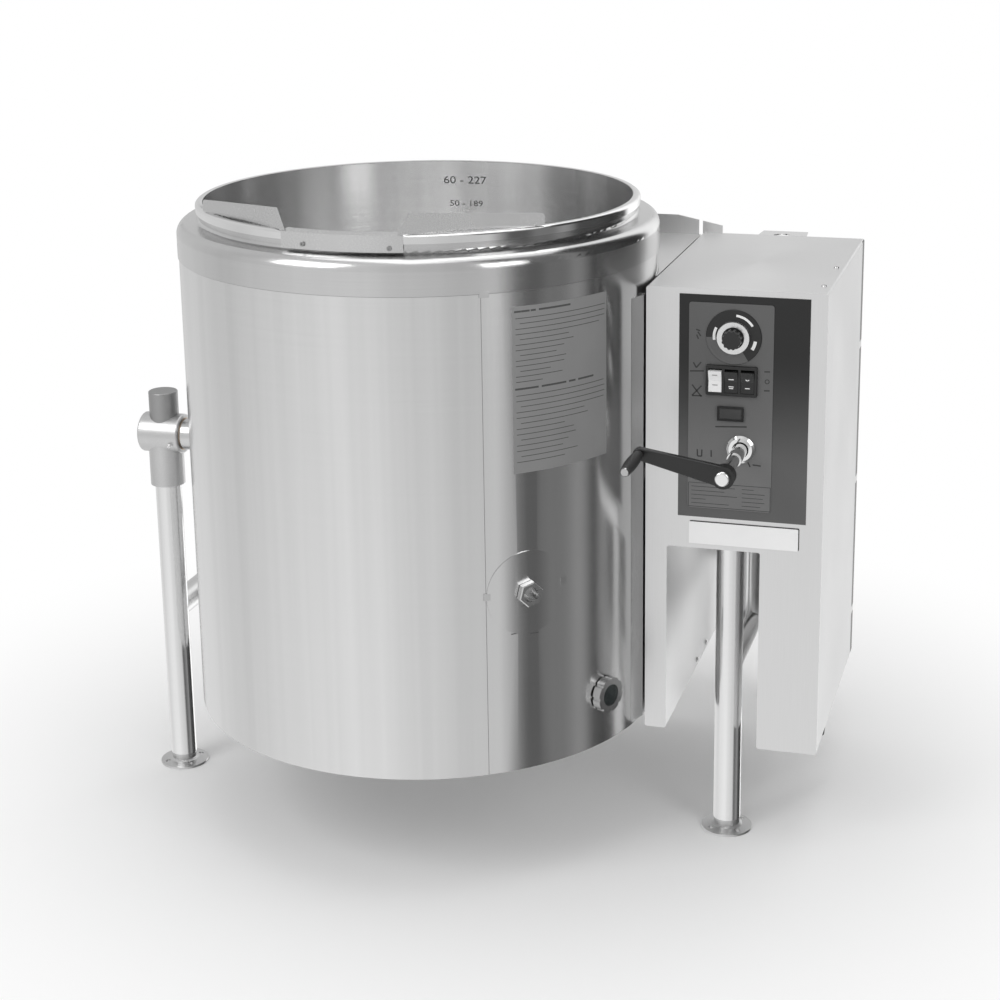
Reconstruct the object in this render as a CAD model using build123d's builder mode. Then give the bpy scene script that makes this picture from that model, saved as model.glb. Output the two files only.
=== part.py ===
# Tilting steam jacketed kettle: a jacketed bowl in an insulated drum, hung on two
# trunnions in a tubular stand, with a worm drive and controls in a console at the right.
# Millimetres. +X runs along the trunnions towards the console, +Y to the back, +Z up.
# The origin lies on the floor, under the middle of the whole machine.
from build123d import *
from math import asin, atan2, ceil, cos, degrees, hypot, pi, radians, sin, sqrt
import os

os.makedirs("parts", exist_ok=True)

# ---- driving dimensions -----------------------------------------------------------
# bowl
bowl_radius = 374.65           # 29.5 in inside diameter, the 60 gallon size
bowl_wall = 3.0
rim_height = 1130.0            # top of the rim above the floor
bowl_depth = 655.0             # rim to the bottom of the dished head
head_depth = 200.0             # dished head alone

# jacket
jacket_gap = 17.5              # steam space round the bowl
jacket_wall = 4.0
jacket_share = 2 / 3           # how much of the bowl's depth the jacket covers
jacket_floor = 262.0           # bottom of the straight jacket wall
jacket_sump = 24.0             # depth of the dished jacket bottom

# drum
drum_radius = 419.1            # 33 in outside diameter
drum_wall = 1.5
drum_bottom = 216.0
seam_drop = 86.0               # rim to where the top band starts
band_height = 33.0
band_proud = 2.0
collar_radius = 381.0
shoulder_round = 20.0
rim_width = 12.5
rim_depth = 15.0
bottom_leg_gap = 22.0          # short legs on the cover stop this far below

# pivot
pivot_height = 665.0
pivot_forward = 20.0           # pivot line in front of the bowl's axis
trunnion_radius = 25.0
running_gap = 0.05
bush_wall = 5.0
tilt_gap = 3.2                 # between what tilts and the console

# stand
tube_radius = 24.15            # 1.5 in pipe
tube_wall = 2.8
leg_stand_off = 85.9            # left legs out from the drum
right_leg_reach = 564.0
rear_leg_back = 575.0
side_tube_height = 318.0
post_back = 190.0              # second console support, behind the bowl's axis
foot_radius = 45.0
foot_thick = 7.0
foot_neck = 14.0
foot_spigot = 50.0
foot_bolt_circle = 68.0
foot_bolt_radius = 4.5

# left trunnion housing
tee_radius = 37.0
tee_inward = 40.0              # from the leg towards the drum
tee_outward = 41.0
sleeve_radius = 32.0
sleeve_drop = 98.0             # below the pivot
stub_radius = 27.0
stub_rise = 81.0               # above the pivot

# console
console_left = 423.0           # just clear of the drum, which tilts past it
console_right = 728.0
console_front = 68.4
console_back = 421.0
console_top = 1000.0
console_underside = 543.0
skirt_right = 461.0            # narrow part that hangs beside the drum
skirt_bottom = 201.0
column_left = 623.0
column_bottom = 180.0
sheet = 2.0
bend_radius = 4.0

# shroud that squares off the drum behind, and tilts with it
shroud_bottom = 201.0
shroud_top = 996.5
upstand_high = 36.0
upstand_low = 18.0
upstand_chamfer = 86.0         # its top slopes down over this, towards the console
shroud_back_start = 60.0
shroud_front = 30.0
edge_strip_angle = -14.5       # where it leaves the drum
edge_strip_front = -72.0
edge_strip_back = -55.0
edge_strip_bottom = 222.0
edge_strip_top = 985.0
edge_strip_round = 7.0

# control panel, in console coordinates (across from the bowl's axis, height)
overlay_left = 480.0
overlay_right = 700.0
overlay_bottom = 600.0
overlay_top = 990.0
overlay_thick = 0.8
faceplate_left = 497.0
faceplate_right = 640.0
faceplate_bottom = 617.0
faceplate_top = 977.0
faceplate_thick = 1.2
dial_across = 573.0
dial_height = 920.0
dial_radius = 47.0
dial_thick = 2.0
knob_radius = 29.0
knob_grip_radius = 17.0
knob_skirt_depth = 7.0
knob_grip_depth = 17.0
knob_stem_radius = 4.0
switch_across = 570.5
switch_height = 845.0
switch_width = 87.0
switch_tall = 52.0
switch_proud = 6.0
rocker_pitch = 27.5
rocker_width = 22.0
rocker_tall = 40.0
rocker_gap = 0.5
rocker_tilt = 8.0
lamp_across = 569.5
lamp_height = 787.5
lamp_width = 45.0
lamp_tall = 25.0
lamp_proud = 3.0

# tilt drive
wheel_teeth = 36
wheel_pitch_radius = 41.0
wheel_width = 16.0
worm_pitch_radius = 21.0
worm_length = 40.0
tooth_height = 2.0             # above and below the pitch line
tooth_share = 0.40             # of the pitch, the rest is backlash
crank_across = 588.0
crank_shaft_radius = 9.5
crank_collar_radius = 12.5
crank_stand_off = 162.0        # front of the console to the middle of the arm
crank_arm_length = 142.0
crank_arm_rise = 12.0          # degrees above level, to the left
crank_arm_thick = 13.0
crank_hub_radius = 18.0
crank_end_radius = 10.5
grip_length = 96.0
grip_radius = 10.5
grip_pin_radius = 5.0
escutcheon_radius = 25.0

# fittings on the drum
port_angle = -48.0
port_height = 530.0
port_plate_radius = 72.0
port_plate_thick = 1.5
port_across_flats = 38.0
port_depth = 12.0
port_bore = 13.0
gauge_glass_angle = -26.0
gauge_glass_height = 308.0
gauge_glass_radius = 31.0
gauge_glass_depth = 15.0
gauge_glass_bore = 19.0
glass_thick = 6.0
relief_angle = 100.0
relief_drop = 62.0             # below the top of the jacket
outlet_radius = 7.0
pressure_angle = 120.0
pressure_drop = 40.0
pressure_radius = 32.0
pressure_depth = 26.0

# pour lip
lip_half_width = 96.0
lip_wing_angle = 50.5          # from the front to where a wing meets the rim
lip_sheet = 1.5
lip_front_height = 34.0
lip_back_height = 20.0
lip_lean = 17.0
lip_skirt = 28.0

# heaters
heater_count = 3
heater_spacing = 70.0
heater_radius = 5.5
heater_bend = 22.0
heater_reach = 560.0
heater_height = 300.0
heater_plug_radius = 30.0

# faucet bracket and cable gland
bracket_across = 565.0
bracket_width = 102.0
bracket_depth = 106.0
bracket_hole = 17.5
gland_across = 710.0
gland_back = 100.0
gland_radius = 13.0
gland_drop = 38.0

seat = 0.1                     # between curved faces that touch in one body
clear = 0.5                    # round a piece that passes through a hole

# ---- worked out from these --------------------------------------------------------
front_reach = drum_radius + band_proud
rear_reach = rear_leg_back + foot_radius
left_leg_reach = drum_radius + leg_stand_off
tee_inner_reach = left_leg_reach - tee_inward
tee_outer_reach = left_leg_reach + tee_outward
axis_x = (tee_outer_reach - console_right) / 2
axis_y = (front_reach - rear_reach) / 2
pivot_y = axis_y - pivot_forward
front_y = axis_y - console_front
back_y = axis_y + console_back
left_leg_x = axis_x - left_leg_reach
right_leg_x = axis_x + right_leg_reach
rear_y = axis_y + rear_leg_back
tube_bore = tube_radius - tube_wall
bowl_outer = bowl_radius + bowl_wall
jacket_inner = bowl_outer + jacket_gap
jacket_outer = jacket_inner + jacket_wall
drum_inner = drum_radius - drum_wall
bowl_bottom = rim_height - bowl_depth
head_top = bowl_bottom + head_depth
jacket_top = bowl_bottom + jacket_share * bowl_depth
relief_height = jacket_top - relief_drop
pressure_height = jacket_top - pressure_drop
bush_outer = trunnion_radius + running_gap + bush_wall
worm_height = pivot_height + wheel_pitch_radius + worm_pitch_radius
shroud_right = console_left - tilt_gap
seam_height = rim_height - seam_drop
sleeve_bottom = pivot_height - sleeve_drop
stub_top = pivot_height + stub_rise
foot_top = foot_thick + foot_neck

kettle_axis = Axis((axis_x, axis_y, 0), (0, 0, 1))
kettle_section = Plane((axis_x, axis_y, 0), x_dir=(1, 0, 0), z_dir=(0, -1, 0))
kettle_floor = Plane((axis_x, axis_y, 0))
pivot_axis = Axis((axis_x, pivot_y, pivot_height), (1, 0, 0))
pivot_section = Plane((axis_x, pivot_y, pivot_height), x_dir=(1, 0, 0), z_dir=(0, -1, 0))
panel_plane = Plane((axis_x, front_y, 0), x_dir=(1, 0, 0), z_dir=(0, -1, 0))
crank_axis = Axis((axis_x + crank_across, front_y, worm_height), (0, -1, 0))


def radial_plane(angle, height):
    """A plane on the kettle's axis at a height, facing out at an angle from +X."""
    out = (cos(radians(angle)), sin(radians(angle)), 0)
    return Plane((axis_x, axis_y, height), x_dir=(-out[1], out[0], 0), z_dir=out)


def save(builder, name):
    """Label a finished piece and write it to its own file."""
    builder.part.label = name
    export_step(builder.part, f"parts/{name}.step")


# ---- stand ------------------------------------------------------------------------
bearing_bottom = pivot_height - 65.0
leg_places = {
    "front_left_leg": (left_leg_x, pivot_y, pivot_height - bush_outer - 10.0),
    "front_right_leg": (right_leg_x, pivot_y, bearing_bottom - 10.0),
    "rear_left_leg": (left_leg_x, rear_y, side_tube_height),
    "rear_right_leg": (right_leg_x, rear_y, side_tube_height),
}
for leg_name, (leg_x, leg_y, leg_top) in leg_places.items():
    with BuildPart() as leg:
        with BuildSketch(Plane((leg_x, leg_y, foot_top))):
            Circle(tube_radius)
            Circle(tube_bore, mode=Mode.SUBTRACT)
        extrude(amount=leg_top - foot_top)
        if leg_name.startswith("rear"):
            with BuildSketch(Plane((leg_x, leg_y, side_tube_height), z_dir=(0, 1, 0))):
                Circle(tube_radius + seat)
            extrude(amount=2 * tube_radius, both=True, mode=Mode.SUBTRACT)
    save(leg, leg_name)

    with BuildPart() as foot:
        with BuildSketch(Plane((leg_x, leg_y, 0), z_dir=(0, -1, 0), x_dir=(1, 0, 0))):
            with BuildLine():
                Polyline(
                    (0, 0), (foot_radius, 0), (foot_radius, foot_thick - 3.0),
                    (tube_radius + 4.0, foot_thick), (tube_radius - 1.0, foot_thick + 3.0),
                    (tube_radius - 1.0, foot_top), (tube_bore - clear, foot_top),
                    (tube_bore - clear, foot_top + foot_spigot), (0, foot_top + foot_spigot), (0, 0),
                )
            make_face()
        revolve(axis=Axis((leg_x, leg_y, 0), (0, 0, 1)))
        with BuildSketch(Plane((leg_x, leg_y, 0))):
            with PolarLocations(foot_bolt_circle / 2, 4, start_angle=45):
                Circle(foot_bolt_radius)
        extrude(amount=foot_top, mode=Mode.SUBTRACT)
    save(foot, leg_name.replace("_leg", "_foot"))

for side_name, leg_x in (("left_side_tube", left_leg_x), ("right_side_tube", right_leg_x)):
    with BuildPart() as side_tube:
        with BuildSketch(Plane((leg_x, pivot_y, side_tube_height), z_dir=(0, 1, 0))):
            Circle(tube_radius)
        extrude(amount=rear_y + tube_radius + 3.0 - pivot_y)
        fillet(side_tube.edges().group_by(Axis.Y)[-1], radius=2.0)
        with BuildSketch(Plane((leg_x, pivot_y, side_tube_height), z_dir=(0, 1, 0))):
            Circle(tube_bore)
        extrude(amount=rear_y + tube_radius - pivot_y, mode=Mode.SUBTRACT)
        with BuildSketch(Plane((leg_x, pivot_y, side_tube_height - 2 * tube_radius))):
            Circle(tube_radius + seat)
        extrude(amount=4 * tube_radius, mode=Mode.SUBTRACT)
    save(side_tube, side_name)

with BuildPart() as rear_rail:
    with BuildSketch(Plane((left_leg_x, rear_y, side_tube_height), z_dir=(1, 0, 0))):
        Circle(tube_radius)
        Circle(tube_bore, mode=Mode.SUBTRACT)
    extrude(amount=right_leg_x - left_leg_x)
    for leg_x in (left_leg_x, right_leg_x):
        with BuildSketch(Plane((leg_x, rear_y, side_tube_height), z_dir=(0, 1, 0))):
            Circle(tube_radius + seat)
        extrude(amount=2 * tube_radius, both=True, mode=Mode.SUBTRACT)
        with BuildSketch(Plane((leg_x, rear_y, side_tube_height - 2 * tube_radius))):
            Circle(tube_radius + seat)
        extrude(amount=2 * tube_radius, mode=Mode.SUBTRACT)
save(rear_rail, "rear_rail")

with BuildPart() as console_post:
    with BuildSketch(Plane((right_leg_x, axis_y + post_back, side_tube_height))):
        Circle(tube_radius)
        Circle(tube_bore, mode=Mode.SUBTRACT)
    extrude(amount=console_underside - side_tube_height)
    with BuildSketch(Plane((right_leg_x, axis_y + post_back, side_tube_height), z_dir=(0, 1, 0))):
        Circle(tube_radius + seat)
    extrude(amount=2 * tube_radius, both=True, mode=Mode.SUBTRACT)
save(console_post, "console_post")

# ---- left trunnion housing --------------------------------------------------------
tee_plane = Plane((axis_x - tee_outer_reach, pivot_y, pivot_height), z_dir=(1, 0, 0))
tee_length = tee_outer_reach - tee_inner_reach
tee_cap = 10.0

with BuildPart() as tee_housing:
    with BuildSketch(tee_plane):
        Circle(tee_radius)
    extrude(amount=tee_length)
    fillet(tee_housing.edges().filter_by(GeomType.CIRCLE), radius=4.0)
    with BuildSketch(Plane((left_leg_x, pivot_y, sleeve_bottom))):
        Circle(sleeve_radius)
    extrude(amount=pivot_height - sleeve_bottom)
    with BuildSketch(Plane((left_leg_x, pivot_y, sleeve_bottom))):
        Circle(tube_radius + seat)
    extrude(amount=pivot_height - bush_outer - 9.0 - sleeve_bottom, mode=Mode.SUBTRACT)
    with BuildSketch(tee_plane.offset(tee_cap)):
        Circle(bush_outer + seat)
    extrude(amount=tee_length, mode=Mode.SUBTRACT)
save(tee_housing, "left_trunnion_housing")

with BuildPart() as post_stub:
    with BuildSketch(Plane((left_leg_x, pivot_y, pivot_height))):
        Circle(stub_radius)
    extrude(amount=stub_top - pivot_height)
    fillet(post_stub.edges().group_by(Axis.Z)[-1], radius=2.5)
    with BuildSketch(tee_plane.offset(-tee_cap)):
        Circle(tee_radius + seat)
    extrude(amount=tee_length + 2 * tee_cap, mode=Mode.SUBTRACT)
save(post_stub, "left_post_cap")

with BuildPart() as left_bush:
    with BuildSketch(tee_plane.offset(tee_cap + 2.0)):
        Circle(bush_outer)
        Circle(trunnion_radius + running_gap, mode=Mode.SUBTRACT)
    extrude(amount=tee_length - tee_cap - 2.0)
save(left_bush, "left_bush")

# ---- right bearing on the front right leg -----------------------------------------
block_left = crank_across - wheel_width / 2 - 4.0 - 36.0
block_width = 36.0
block_plane = Plane((axis_x + block_left, pivot_y, pivot_height), x_dir=(0, 1, 0), z_dir=(1, 0, 0))
block_radius = bush_outer + 6.5
block_top = pivot_height + block_radius

block_drop = bearing_bottom - pivot_height
with BuildPart() as bearing_block:
    with BuildSketch(block_plane):
        with BuildLine():
            Line((-block_radius, block_drop), (block_radius, block_drop))
            Line((block_radius, block_drop), (block_radius, 0))
            ThreePointArc((block_radius, 0), (0, block_radius), (-block_radius, 0))
            Line((-block_radius, 0), (-block_radius, block_drop))
        make_face()
        Circle(bush_outer + seat, mode=Mode.SUBTRACT)
    extrude(amount=block_width)
    with BuildSketch(Plane((right_leg_x, pivot_y, bearing_bottom - 10.0))):
        Circle(block_radius + 6.0)
    extrude(amount=10.0)
save(bearing_block, "right_bearing_block")

with BuildPart() as right_bush:
    with BuildSketch(block_plane):
        Circle(bush_outer)
        Circle(trunnion_radius + running_gap, mode=Mode.SUBTRACT)
    extrude(amount=block_width)
save(right_bush, "right_bush")

# ---- bowl -------------------------------------------------------------------------
with BuildPart() as bowl:
    with BuildSketch(kettle_section):
        with BuildLine():
            EllipticalCenterArc((0, head_top), bowl_radius, head_depth, start_angle=-90, arc_size=90)
            Line((bowl_radius, head_top), (bowl_radius, rim_height - 2.0))
            Line((bowl_radius, rim_height - 2.0), (bowl_outer, rim_height - 2.0))
            Line((bowl_outer, rim_height - 2.0), (bowl_outer, head_top))
            EllipticalCenterArc((0, head_top), bowl_outer, head_depth + bowl_wall,
                                start_angle=-90, arc_size=90)
            Line((0, bowl_bottom - bowl_wall), (0, bowl_bottom))
        make_face()
    revolve(axis=kettle_axis)
save(bowl, "inner_bowl")

rim_inner = bowl_outer + seat
with BuildPart() as rim_ring:
    with BuildSketch(kettle_section):
        with BuildLine():
            Line((bowl_radius, rim_height - 2.0), (bowl_radius, rim_height - 1.0))
            ThreePointArc((bowl_radius, rim_height - 1.0),
                          (bowl_radius + rim_width * 0.45, rim_height),
                          (bowl_radius + rim_width, rim_height - 4.5))
            Line((bowl_radius + rim_width, rim_height - 4.5), (bowl_radius + rim_width, rim_height - rim_depth))
            Line((bowl_radius + rim_width, rim_height - rim_depth), (rim_inner, rim_height - rim_depth))
            Line((rim_inner, rim_height - rim_depth), (rim_inner, rim_height - 2.0))
            Line((rim_inner, rim_height - 2.0), (bowl_radius, rim_height - 2.0))
        make_face()
    revolve(axis=kettle_axis)
save(rim_ring, "rim_ring")

# ---- jacket -----------------------------------------------------------------------
with BuildPart() as jacket:
    with BuildSketch(kettle_section):
        with BuildLine():
            Line((0, jacket_floor - jacket_sump), (0, jacket_floor - jacket_sump + jacket_wall))
            EllipticalCenterArc((0, jacket_floor), jacket_inner, jacket_sump - jacket_wall,
                                start_angle=-90, arc_size=90)
            Line((jacket_inner, jacket_floor), (jacket_inner, jacket_top - jacket_wall))
            Line((jacket_inner, jacket_top - jacket_wall), (bowl_outer + seat, jacket_top - jacket_wall))
            Line((bowl_outer + seat, jacket_top - jacket_wall), (bowl_outer + seat, jacket_top))
            Line((bowl_outer + seat, jacket_top), (jacket_outer, jacket_top))
            Line((jacket_outer, jacket_top), (jacket_outer, jacket_floor))
            EllipticalCenterArc((0, jacket_floor), jacket_outer, jacket_sump,
                                start_angle=-90, arc_size=90)
        make_face()
    revolve(axis=kettle_axis)
    heater_spots = [(0, (i - (heater_count - 1) / 2) * heater_spacing) for i in range(heater_count)]
    with BuildSketch(Plane((axis_x, axis_y, heater_height), x_dir=(0, 0, 1), z_dir=(1, 0, 0))):
        with Locations(*[(z, -y) for z, y in heater_spots]):
            Circle(heater_plug_radius + seat)
    extrude(amount=jacket_outer + 1.0, mode=Mode.SUBTRACT)
save(jacket, "jacket_shell")

# Immersion heaters: hairpins on threaded plugs that reach in through the jacket's right side.
heater_head = 8.0
with BuildPart() as heaters:
    for _, spot_y in heater_spots:
        heater_end = sqrt(drum_inner ** 2 - (abs(spot_y) + heater_plug_radius) ** 2) - 3.0
        inner_x = heater_end - heater_reach
        near_y, far_y = spot_y - heater_bend / 2, spot_y + heater_bend / 2
        with BuildLine(Plane((axis_x, axis_y, heater_height))) as hairpin:
            Line((jacket_inner - 60.0, near_y), (inner_x, near_y))
            ThreePointArc((inner_x, near_y), (inner_x - heater_bend / 2, spot_y), (inner_x, far_y))
            Line((inner_x, far_y), (jacket_inner - 60.0, far_y))
        with BuildSketch(Plane((axis_x + jacket_inner - 60.0, axis_y + near_y, heater_height),
                               z_dir=(-1, 0, 0))):
            Circle(heater_radius)
        sweep(path=hairpin.line)
        with BuildSketch(Plane((axis_x + jacket_inner - 60.0, axis_y + spot_y, heater_height),
                               z_dir=(1, 0, 0))):
            Circle(heater_plug_radius)
        extrude(amount=heater_end - heater_head - (jacket_inner - 60.0))
        with BuildSketch(Plane((axis_x + heater_end - heater_head, axis_y + spot_y, heater_height),
                               z_dir=(1, 0, 0))):
            RegularPolygon(radius=heater_plug_radius - 4.0, side_count=6)
        extrude(amount=heater_head)
save(heaters, "heating_elements")

# ---- trunnions --------------------------------------------------------------------
pad_radius = 62.0
pad_outer = drum_inner - 13.0
washer_radius = 43.0
collar_reach = tee_inner_reach - 3.0
trunnion_collar = 29.0
left_end = tee_outer_reach - tee_cap - 4.0
wheel_bore = 22.0
wheel_from = crank_across - wheel_width / 2
right_end = crank_across + wheel_width / 2 + 4.0

with BuildPart() as left_trunnion:
    with BuildSketch(pivot_section):
        with Locations((-(drum_radius + 6.0) / 2, 0)):
            Rectangle(drum_radius + 6.0, washer_radius, align=(Align.CENTER, Align.MIN))
    revolve(axis=pivot_axis)
    with BuildSketch(kettle_floor):
        Circle(drum_radius + seat)
    extrude(amount=rim_height, mode=Mode.SUBTRACT)
    with BuildSketch(pivot_section):
        with BuildLine():
            Polyline(
                (-left_end, 0), (-left_end, trunnion_radius - 2.0), (-left_end + 2.0, trunnion_radius),
                (-collar_reach, trunnion_radius), (-collar_reach, trunnion_collar),
                (-pad_outer, trunnion_collar), (-pad_outer, pad_radius),
                (-jacket_inner + 30.0, pad_radius), (-jacket_inner + 30.0, 0), (-left_end, 0),
            )
        make_face()
    revolve(axis=pivot_axis)
    with BuildSketch(kettle_floor):
        Circle(jacket_outer + seat)
    extrude(amount=rim_height, mode=Mode.SUBTRACT)
save(left_trunnion, "left_trunnion")

with BuildPart() as right_trunnion:
    with BuildSketch(pivot_section):
        with BuildLine():
            Polyline(
                (right_end, 0), (right_end, wheel_bore - 1.0), (right_end - 1.0, wheel_bore),
                (wheel_from, wheel_bore), (wheel_from, trunnion_radius),
                (block_left - 8.0, trunnion_radius), (block_left - 8.0, trunnion_collar),
                (pad_outer, trunnion_collar), (pad_outer, pad_radius),
                (jacket_inner - 30.0, pad_radius), (jacket_inner - 30.0, 0), (right_end, 0),
            )
        make_face()
    revolve(axis=pivot_axis)
    with BuildSketch(kettle_floor):
        Circle(jacket_outer + seat)
    extrude(amount=rim_height, mode=Mode.SUBTRACT)
save(right_trunnion, "right_trunnion")

# ---- worm drive -------------------------------------------------------------------
tooth_pitch = 2 * pi * wheel_pitch_radius / wheel_teeth
tooth_half = tooth_share * tooth_pitch / 2
flank = radians(20)
wheel_tip = wheel_pitch_radius + tooth_height
wheel_root = wheel_pitch_radius - tooth_height - 0.8
wheel_plane = Plane((axis_x + wheel_from, pivot_y, pivot_height), x_dir=(0, 1, 0), z_dir=(1, 0, 0))
tip_half = tooth_half - tooth_height * sin(flank)
root_half = tooth_half + tooth_height * sin(flank)

with BuildPart() as worm_wheel:
    with BuildSketch(wheel_plane):
        Circle(wheel_root)
        with PolarLocations(0, wheel_teeth, start_angle=90):
            Polygon(
                (wheel_root - 1.0, -root_half), (wheel_tip, -tip_half),
                (wheel_tip, tip_half), (wheel_root - 1.0, root_half), align=None,
            )
        Circle(wheel_bore + seat, mode=Mode.SUBTRACT)
        with PolarLocations((wheel_bore + wheel_root) / 2, 4, start_angle=45):
            Circle(4.0, mode=Mode.SUBTRACT)
    extrude(amount=wheel_width)
save(worm_wheel, "worm_wheel")

worm_tip = worm_pitch_radius + tooth_height
worm_root = worm_pitch_radius - tooth_height - 0.8
worm_turns = 2 * ceil(worm_length / tooth_pitch / 2) - 1   # odd, so a gap faces the wheel
worm_start = pivot_y - worm_turns * tooth_pitch / 2
worm_base = Plane((axis_x + crank_across, worm_start, worm_height), x_dir=(0, 0, -1), z_dir=(0, 1, 0))
shaft_fit = crank_shaft_radius + seat

thread_foot = 0.5               # how far the thread is sunk in the worm's core
# The worm is cut standing on its own axis, then laid over the wheel.
with BuildPart() as worm_thread:
    with BuildLine() as thread_path:
        Helix(pitch=tooth_pitch, height=worm_turns * tooth_pitch, radius=worm_root - thread_foot)
    with BuildSketch(Plane(thread_path.line @ 0, x_dir=(1, 0, 0), z_dir=(0, 1, 0))):
        Polygon(
            (0, -root_half), (0, root_half), (worm_tip - worm_root + thread_foot, tip_half),
            (worm_tip - worm_root + thread_foot, -tip_half), align=None,
        )
    sweep(path=thread_path.line, is_frenet=True)

with BuildPart() as worm_blank:
    with BuildSketch(Plane.XY.offset(-tooth_pitch / 2)):
        Circle(worm_root)
    extrude(amount=(worm_turns + 1) * tooth_pitch)
    add(worm_thread.part)
    with BuildSketch(Plane.XY.offset(-tooth_pitch)):
        Circle(shaft_fit)
    extrude(amount=(worm_turns + 2) * tooth_pitch, mode=Mode.SUBTRACT)

with BuildPart() as worm:
    add(worm_base.location * worm_blank.part)
save(worm, "worm")

# ---- crank ------------------------------------------------------------------------
cheek_thick = 13.0
cheek_front = console_front - sheet - 0.5
worm_middle = pivot_forward
worm_half = (worm_turns + 1) * tooth_pitch / 2
cheek_back = worm_middle - worm_half - 1.0 - cheek_thick
arm_front = crank_stand_off + crank_arm_thick / 2
arm_back = crank_stand_off - crank_arm_thick / 2
nut_thick = 7.0
crank_plane = Plane((axis_x + crank_across, front_y, worm_height), x_dir=(1, 0, 0), z_dir=(0, -1, 0))
crank_section = Plane((axis_x + crank_across, front_y, worm_height), x_dir=(0, -1, 0), z_dir=(1, 0, 0))
shaft_back = cheek_back - console_front - 4.0
collar_step = escutcheon_radius / 2

with BuildPart() as crank_shaft:
    with BuildSketch(crank_section):
        with BuildLine():
            Polyline(
                (shaft_back, 0), (shaft_back, crank_shaft_radius - 1.0),
                (shaft_back + 1.0, crank_shaft_radius), (2.0, crank_shaft_radius),
                (2.0, crank_collar_radius), (crank_stand_off * 0.42, crank_collar_radius),
                (crank_stand_off * 0.42, crank_collar_radius - 2.0),
                (arm_back - 20.0, crank_collar_radius - 2.0), (arm_back - 20.0, crank_shaft_radius),
                (arm_front, crank_shaft_radius), (arm_front, crank_shaft_radius - 3.0),
                (arm_front + nut_thick, crank_shaft_radius - 3.0), (arm_front + nut_thick, 0),
                (shaft_back, 0),
            )
        make_face()
    revolve(axis=crank_axis)
save(crank_shaft, "crank_shaft")

arm_turn = radians(180 - crank_arm_rise)
arm_end = (crank_arm_length * cos(arm_turn), crank_arm_length * sin(arm_turn))
with BuildPart() as crank_arm:
    with BuildSketch(crank_plane.offset(arm_back)) as arm_outline:
        with BuildLine():
            hub_circle = CenterArc((0, 0), crank_hub_radius, 0, 360)
            end_circle = CenterArc(arm_end, crank_end_radius, 0, 360)
        make_hull()
    extrude(amount=crank_arm_thick)
    fillet(crank_arm.edges().group_by(Axis.Y)[0] + crank_arm.edges().group_by(Axis.Y)[-1], radius=3.0)
    with BuildSketch(crank_plane.offset(arm_back - 6.0)):
        Circle(crank_hub_radius + 1.0)
    extrude(amount=crank_arm_thick + 7.0)
    with BuildSketch(crank_plane.offset(arm_back - 7.0)):
        Circle(crank_shaft_radius + seat)
        with Locations(arm_end):
            Circle(grip_pin_radius + seat)
    extrude(amount=crank_arm_thick + 10.0, mode=Mode.SUBTRACT)
save(crank_arm, "crank_arm")

with BuildPart() as crank_cap:
    with BuildSketch(crank_plane.offset(arm_front + 1.0)):
        Circle(crank_hub_radius - 5.5)
    extrude(amount=nut_thick + 2.0)
    fillet(crank_cap.edges().group_by(Axis.Y)[0], radius=4.0)
    with BuildSketch(crank_plane.offset(arm_front)):
        Circle(crank_shaft_radius - 3.0 + seat)
    extrude(amount=nut_thick + seat, mode=Mode.SUBTRACT)
save(crank_cap, "crank_cap")

grip_start = arm_front + 1.0
grip_head = 3.0
grip_x = axis_x + crank_across + arm_end[0]
grip_z = worm_height + arm_end[1]
grip_plane = Plane((grip_x, front_y, grip_z), x_dir=(0, -1, 0), z_dir=(1, 0, 0))
grip_axis = Axis((grip_x, front_y, grip_z), (0, -1, 0))
with BuildPart() as grip_pin:
    with BuildSketch(grip_plane):
        with BuildLine():
            Polyline(
                (arm_back, 0), (arm_back, grip_pin_radius), (grip_start + grip_length + 0.5, grip_pin_radius),
                (grip_start + grip_length + 0.5, grip_pin_radius + 2.0),
                (grip_start + grip_length + grip_head, grip_pin_radius + 1.0),
                (grip_start + grip_length + grip_head, 0), (arm_back, 0),
            )
        make_face()
    revolve(axis=grip_axis)
save(grip_pin, "grip_pin")

with BuildPart() as grip:
    with BuildSketch(grip_plane):
        with BuildLine():
            Line((grip_start, grip_pin_radius + running_gap), (grip_start, grip_radius - 3.0))
            ThreePointArc((grip_start, grip_radius - 3.0), (grip_start + grip_length * 0.55, grip_radius),
                          (grip_start + grip_length - 4.0, grip_radius - 2.0))
            ThreePointArc((grip_start + grip_length - 4.0, grip_radius - 2.0),
                          (grip_start + grip_length - 1.0, grip_radius - 3.0),
                          (grip_start + grip_length, grip_radius - 5.0))
            Line((grip_start + grip_length, grip_radius - 5.0),
                 (grip_start + grip_length, grip_pin_radius + running_gap))
            Line((grip_start + grip_length, grip_pin_radius + running_gap),
                 (grip_start, grip_pin_radius + running_gap))
        make_face()
    revolve(axis=grip_axis)
save(grip, "crank_grip")

with BuildPart() as escutcheon:
    with BuildSketch(crank_section):
        with BuildLine():
            Polyline(
                (overlay_thick + faceplate_thick, collar_step + 1.5), (10.0, collar_step + 1.5),
                (10.0, escutcheon_radius - 5.0), (7.0, escutcheon_radius - 1.0),
                (overlay_thick + faceplate_thick, escutcheon_radius),
                (overlay_thick + faceplate_thick, collar_step + 1.5),
            )
        make_face()
    revolve(axis=crank_axis)
save(escutcheon, "crank_escutcheon")

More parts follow.
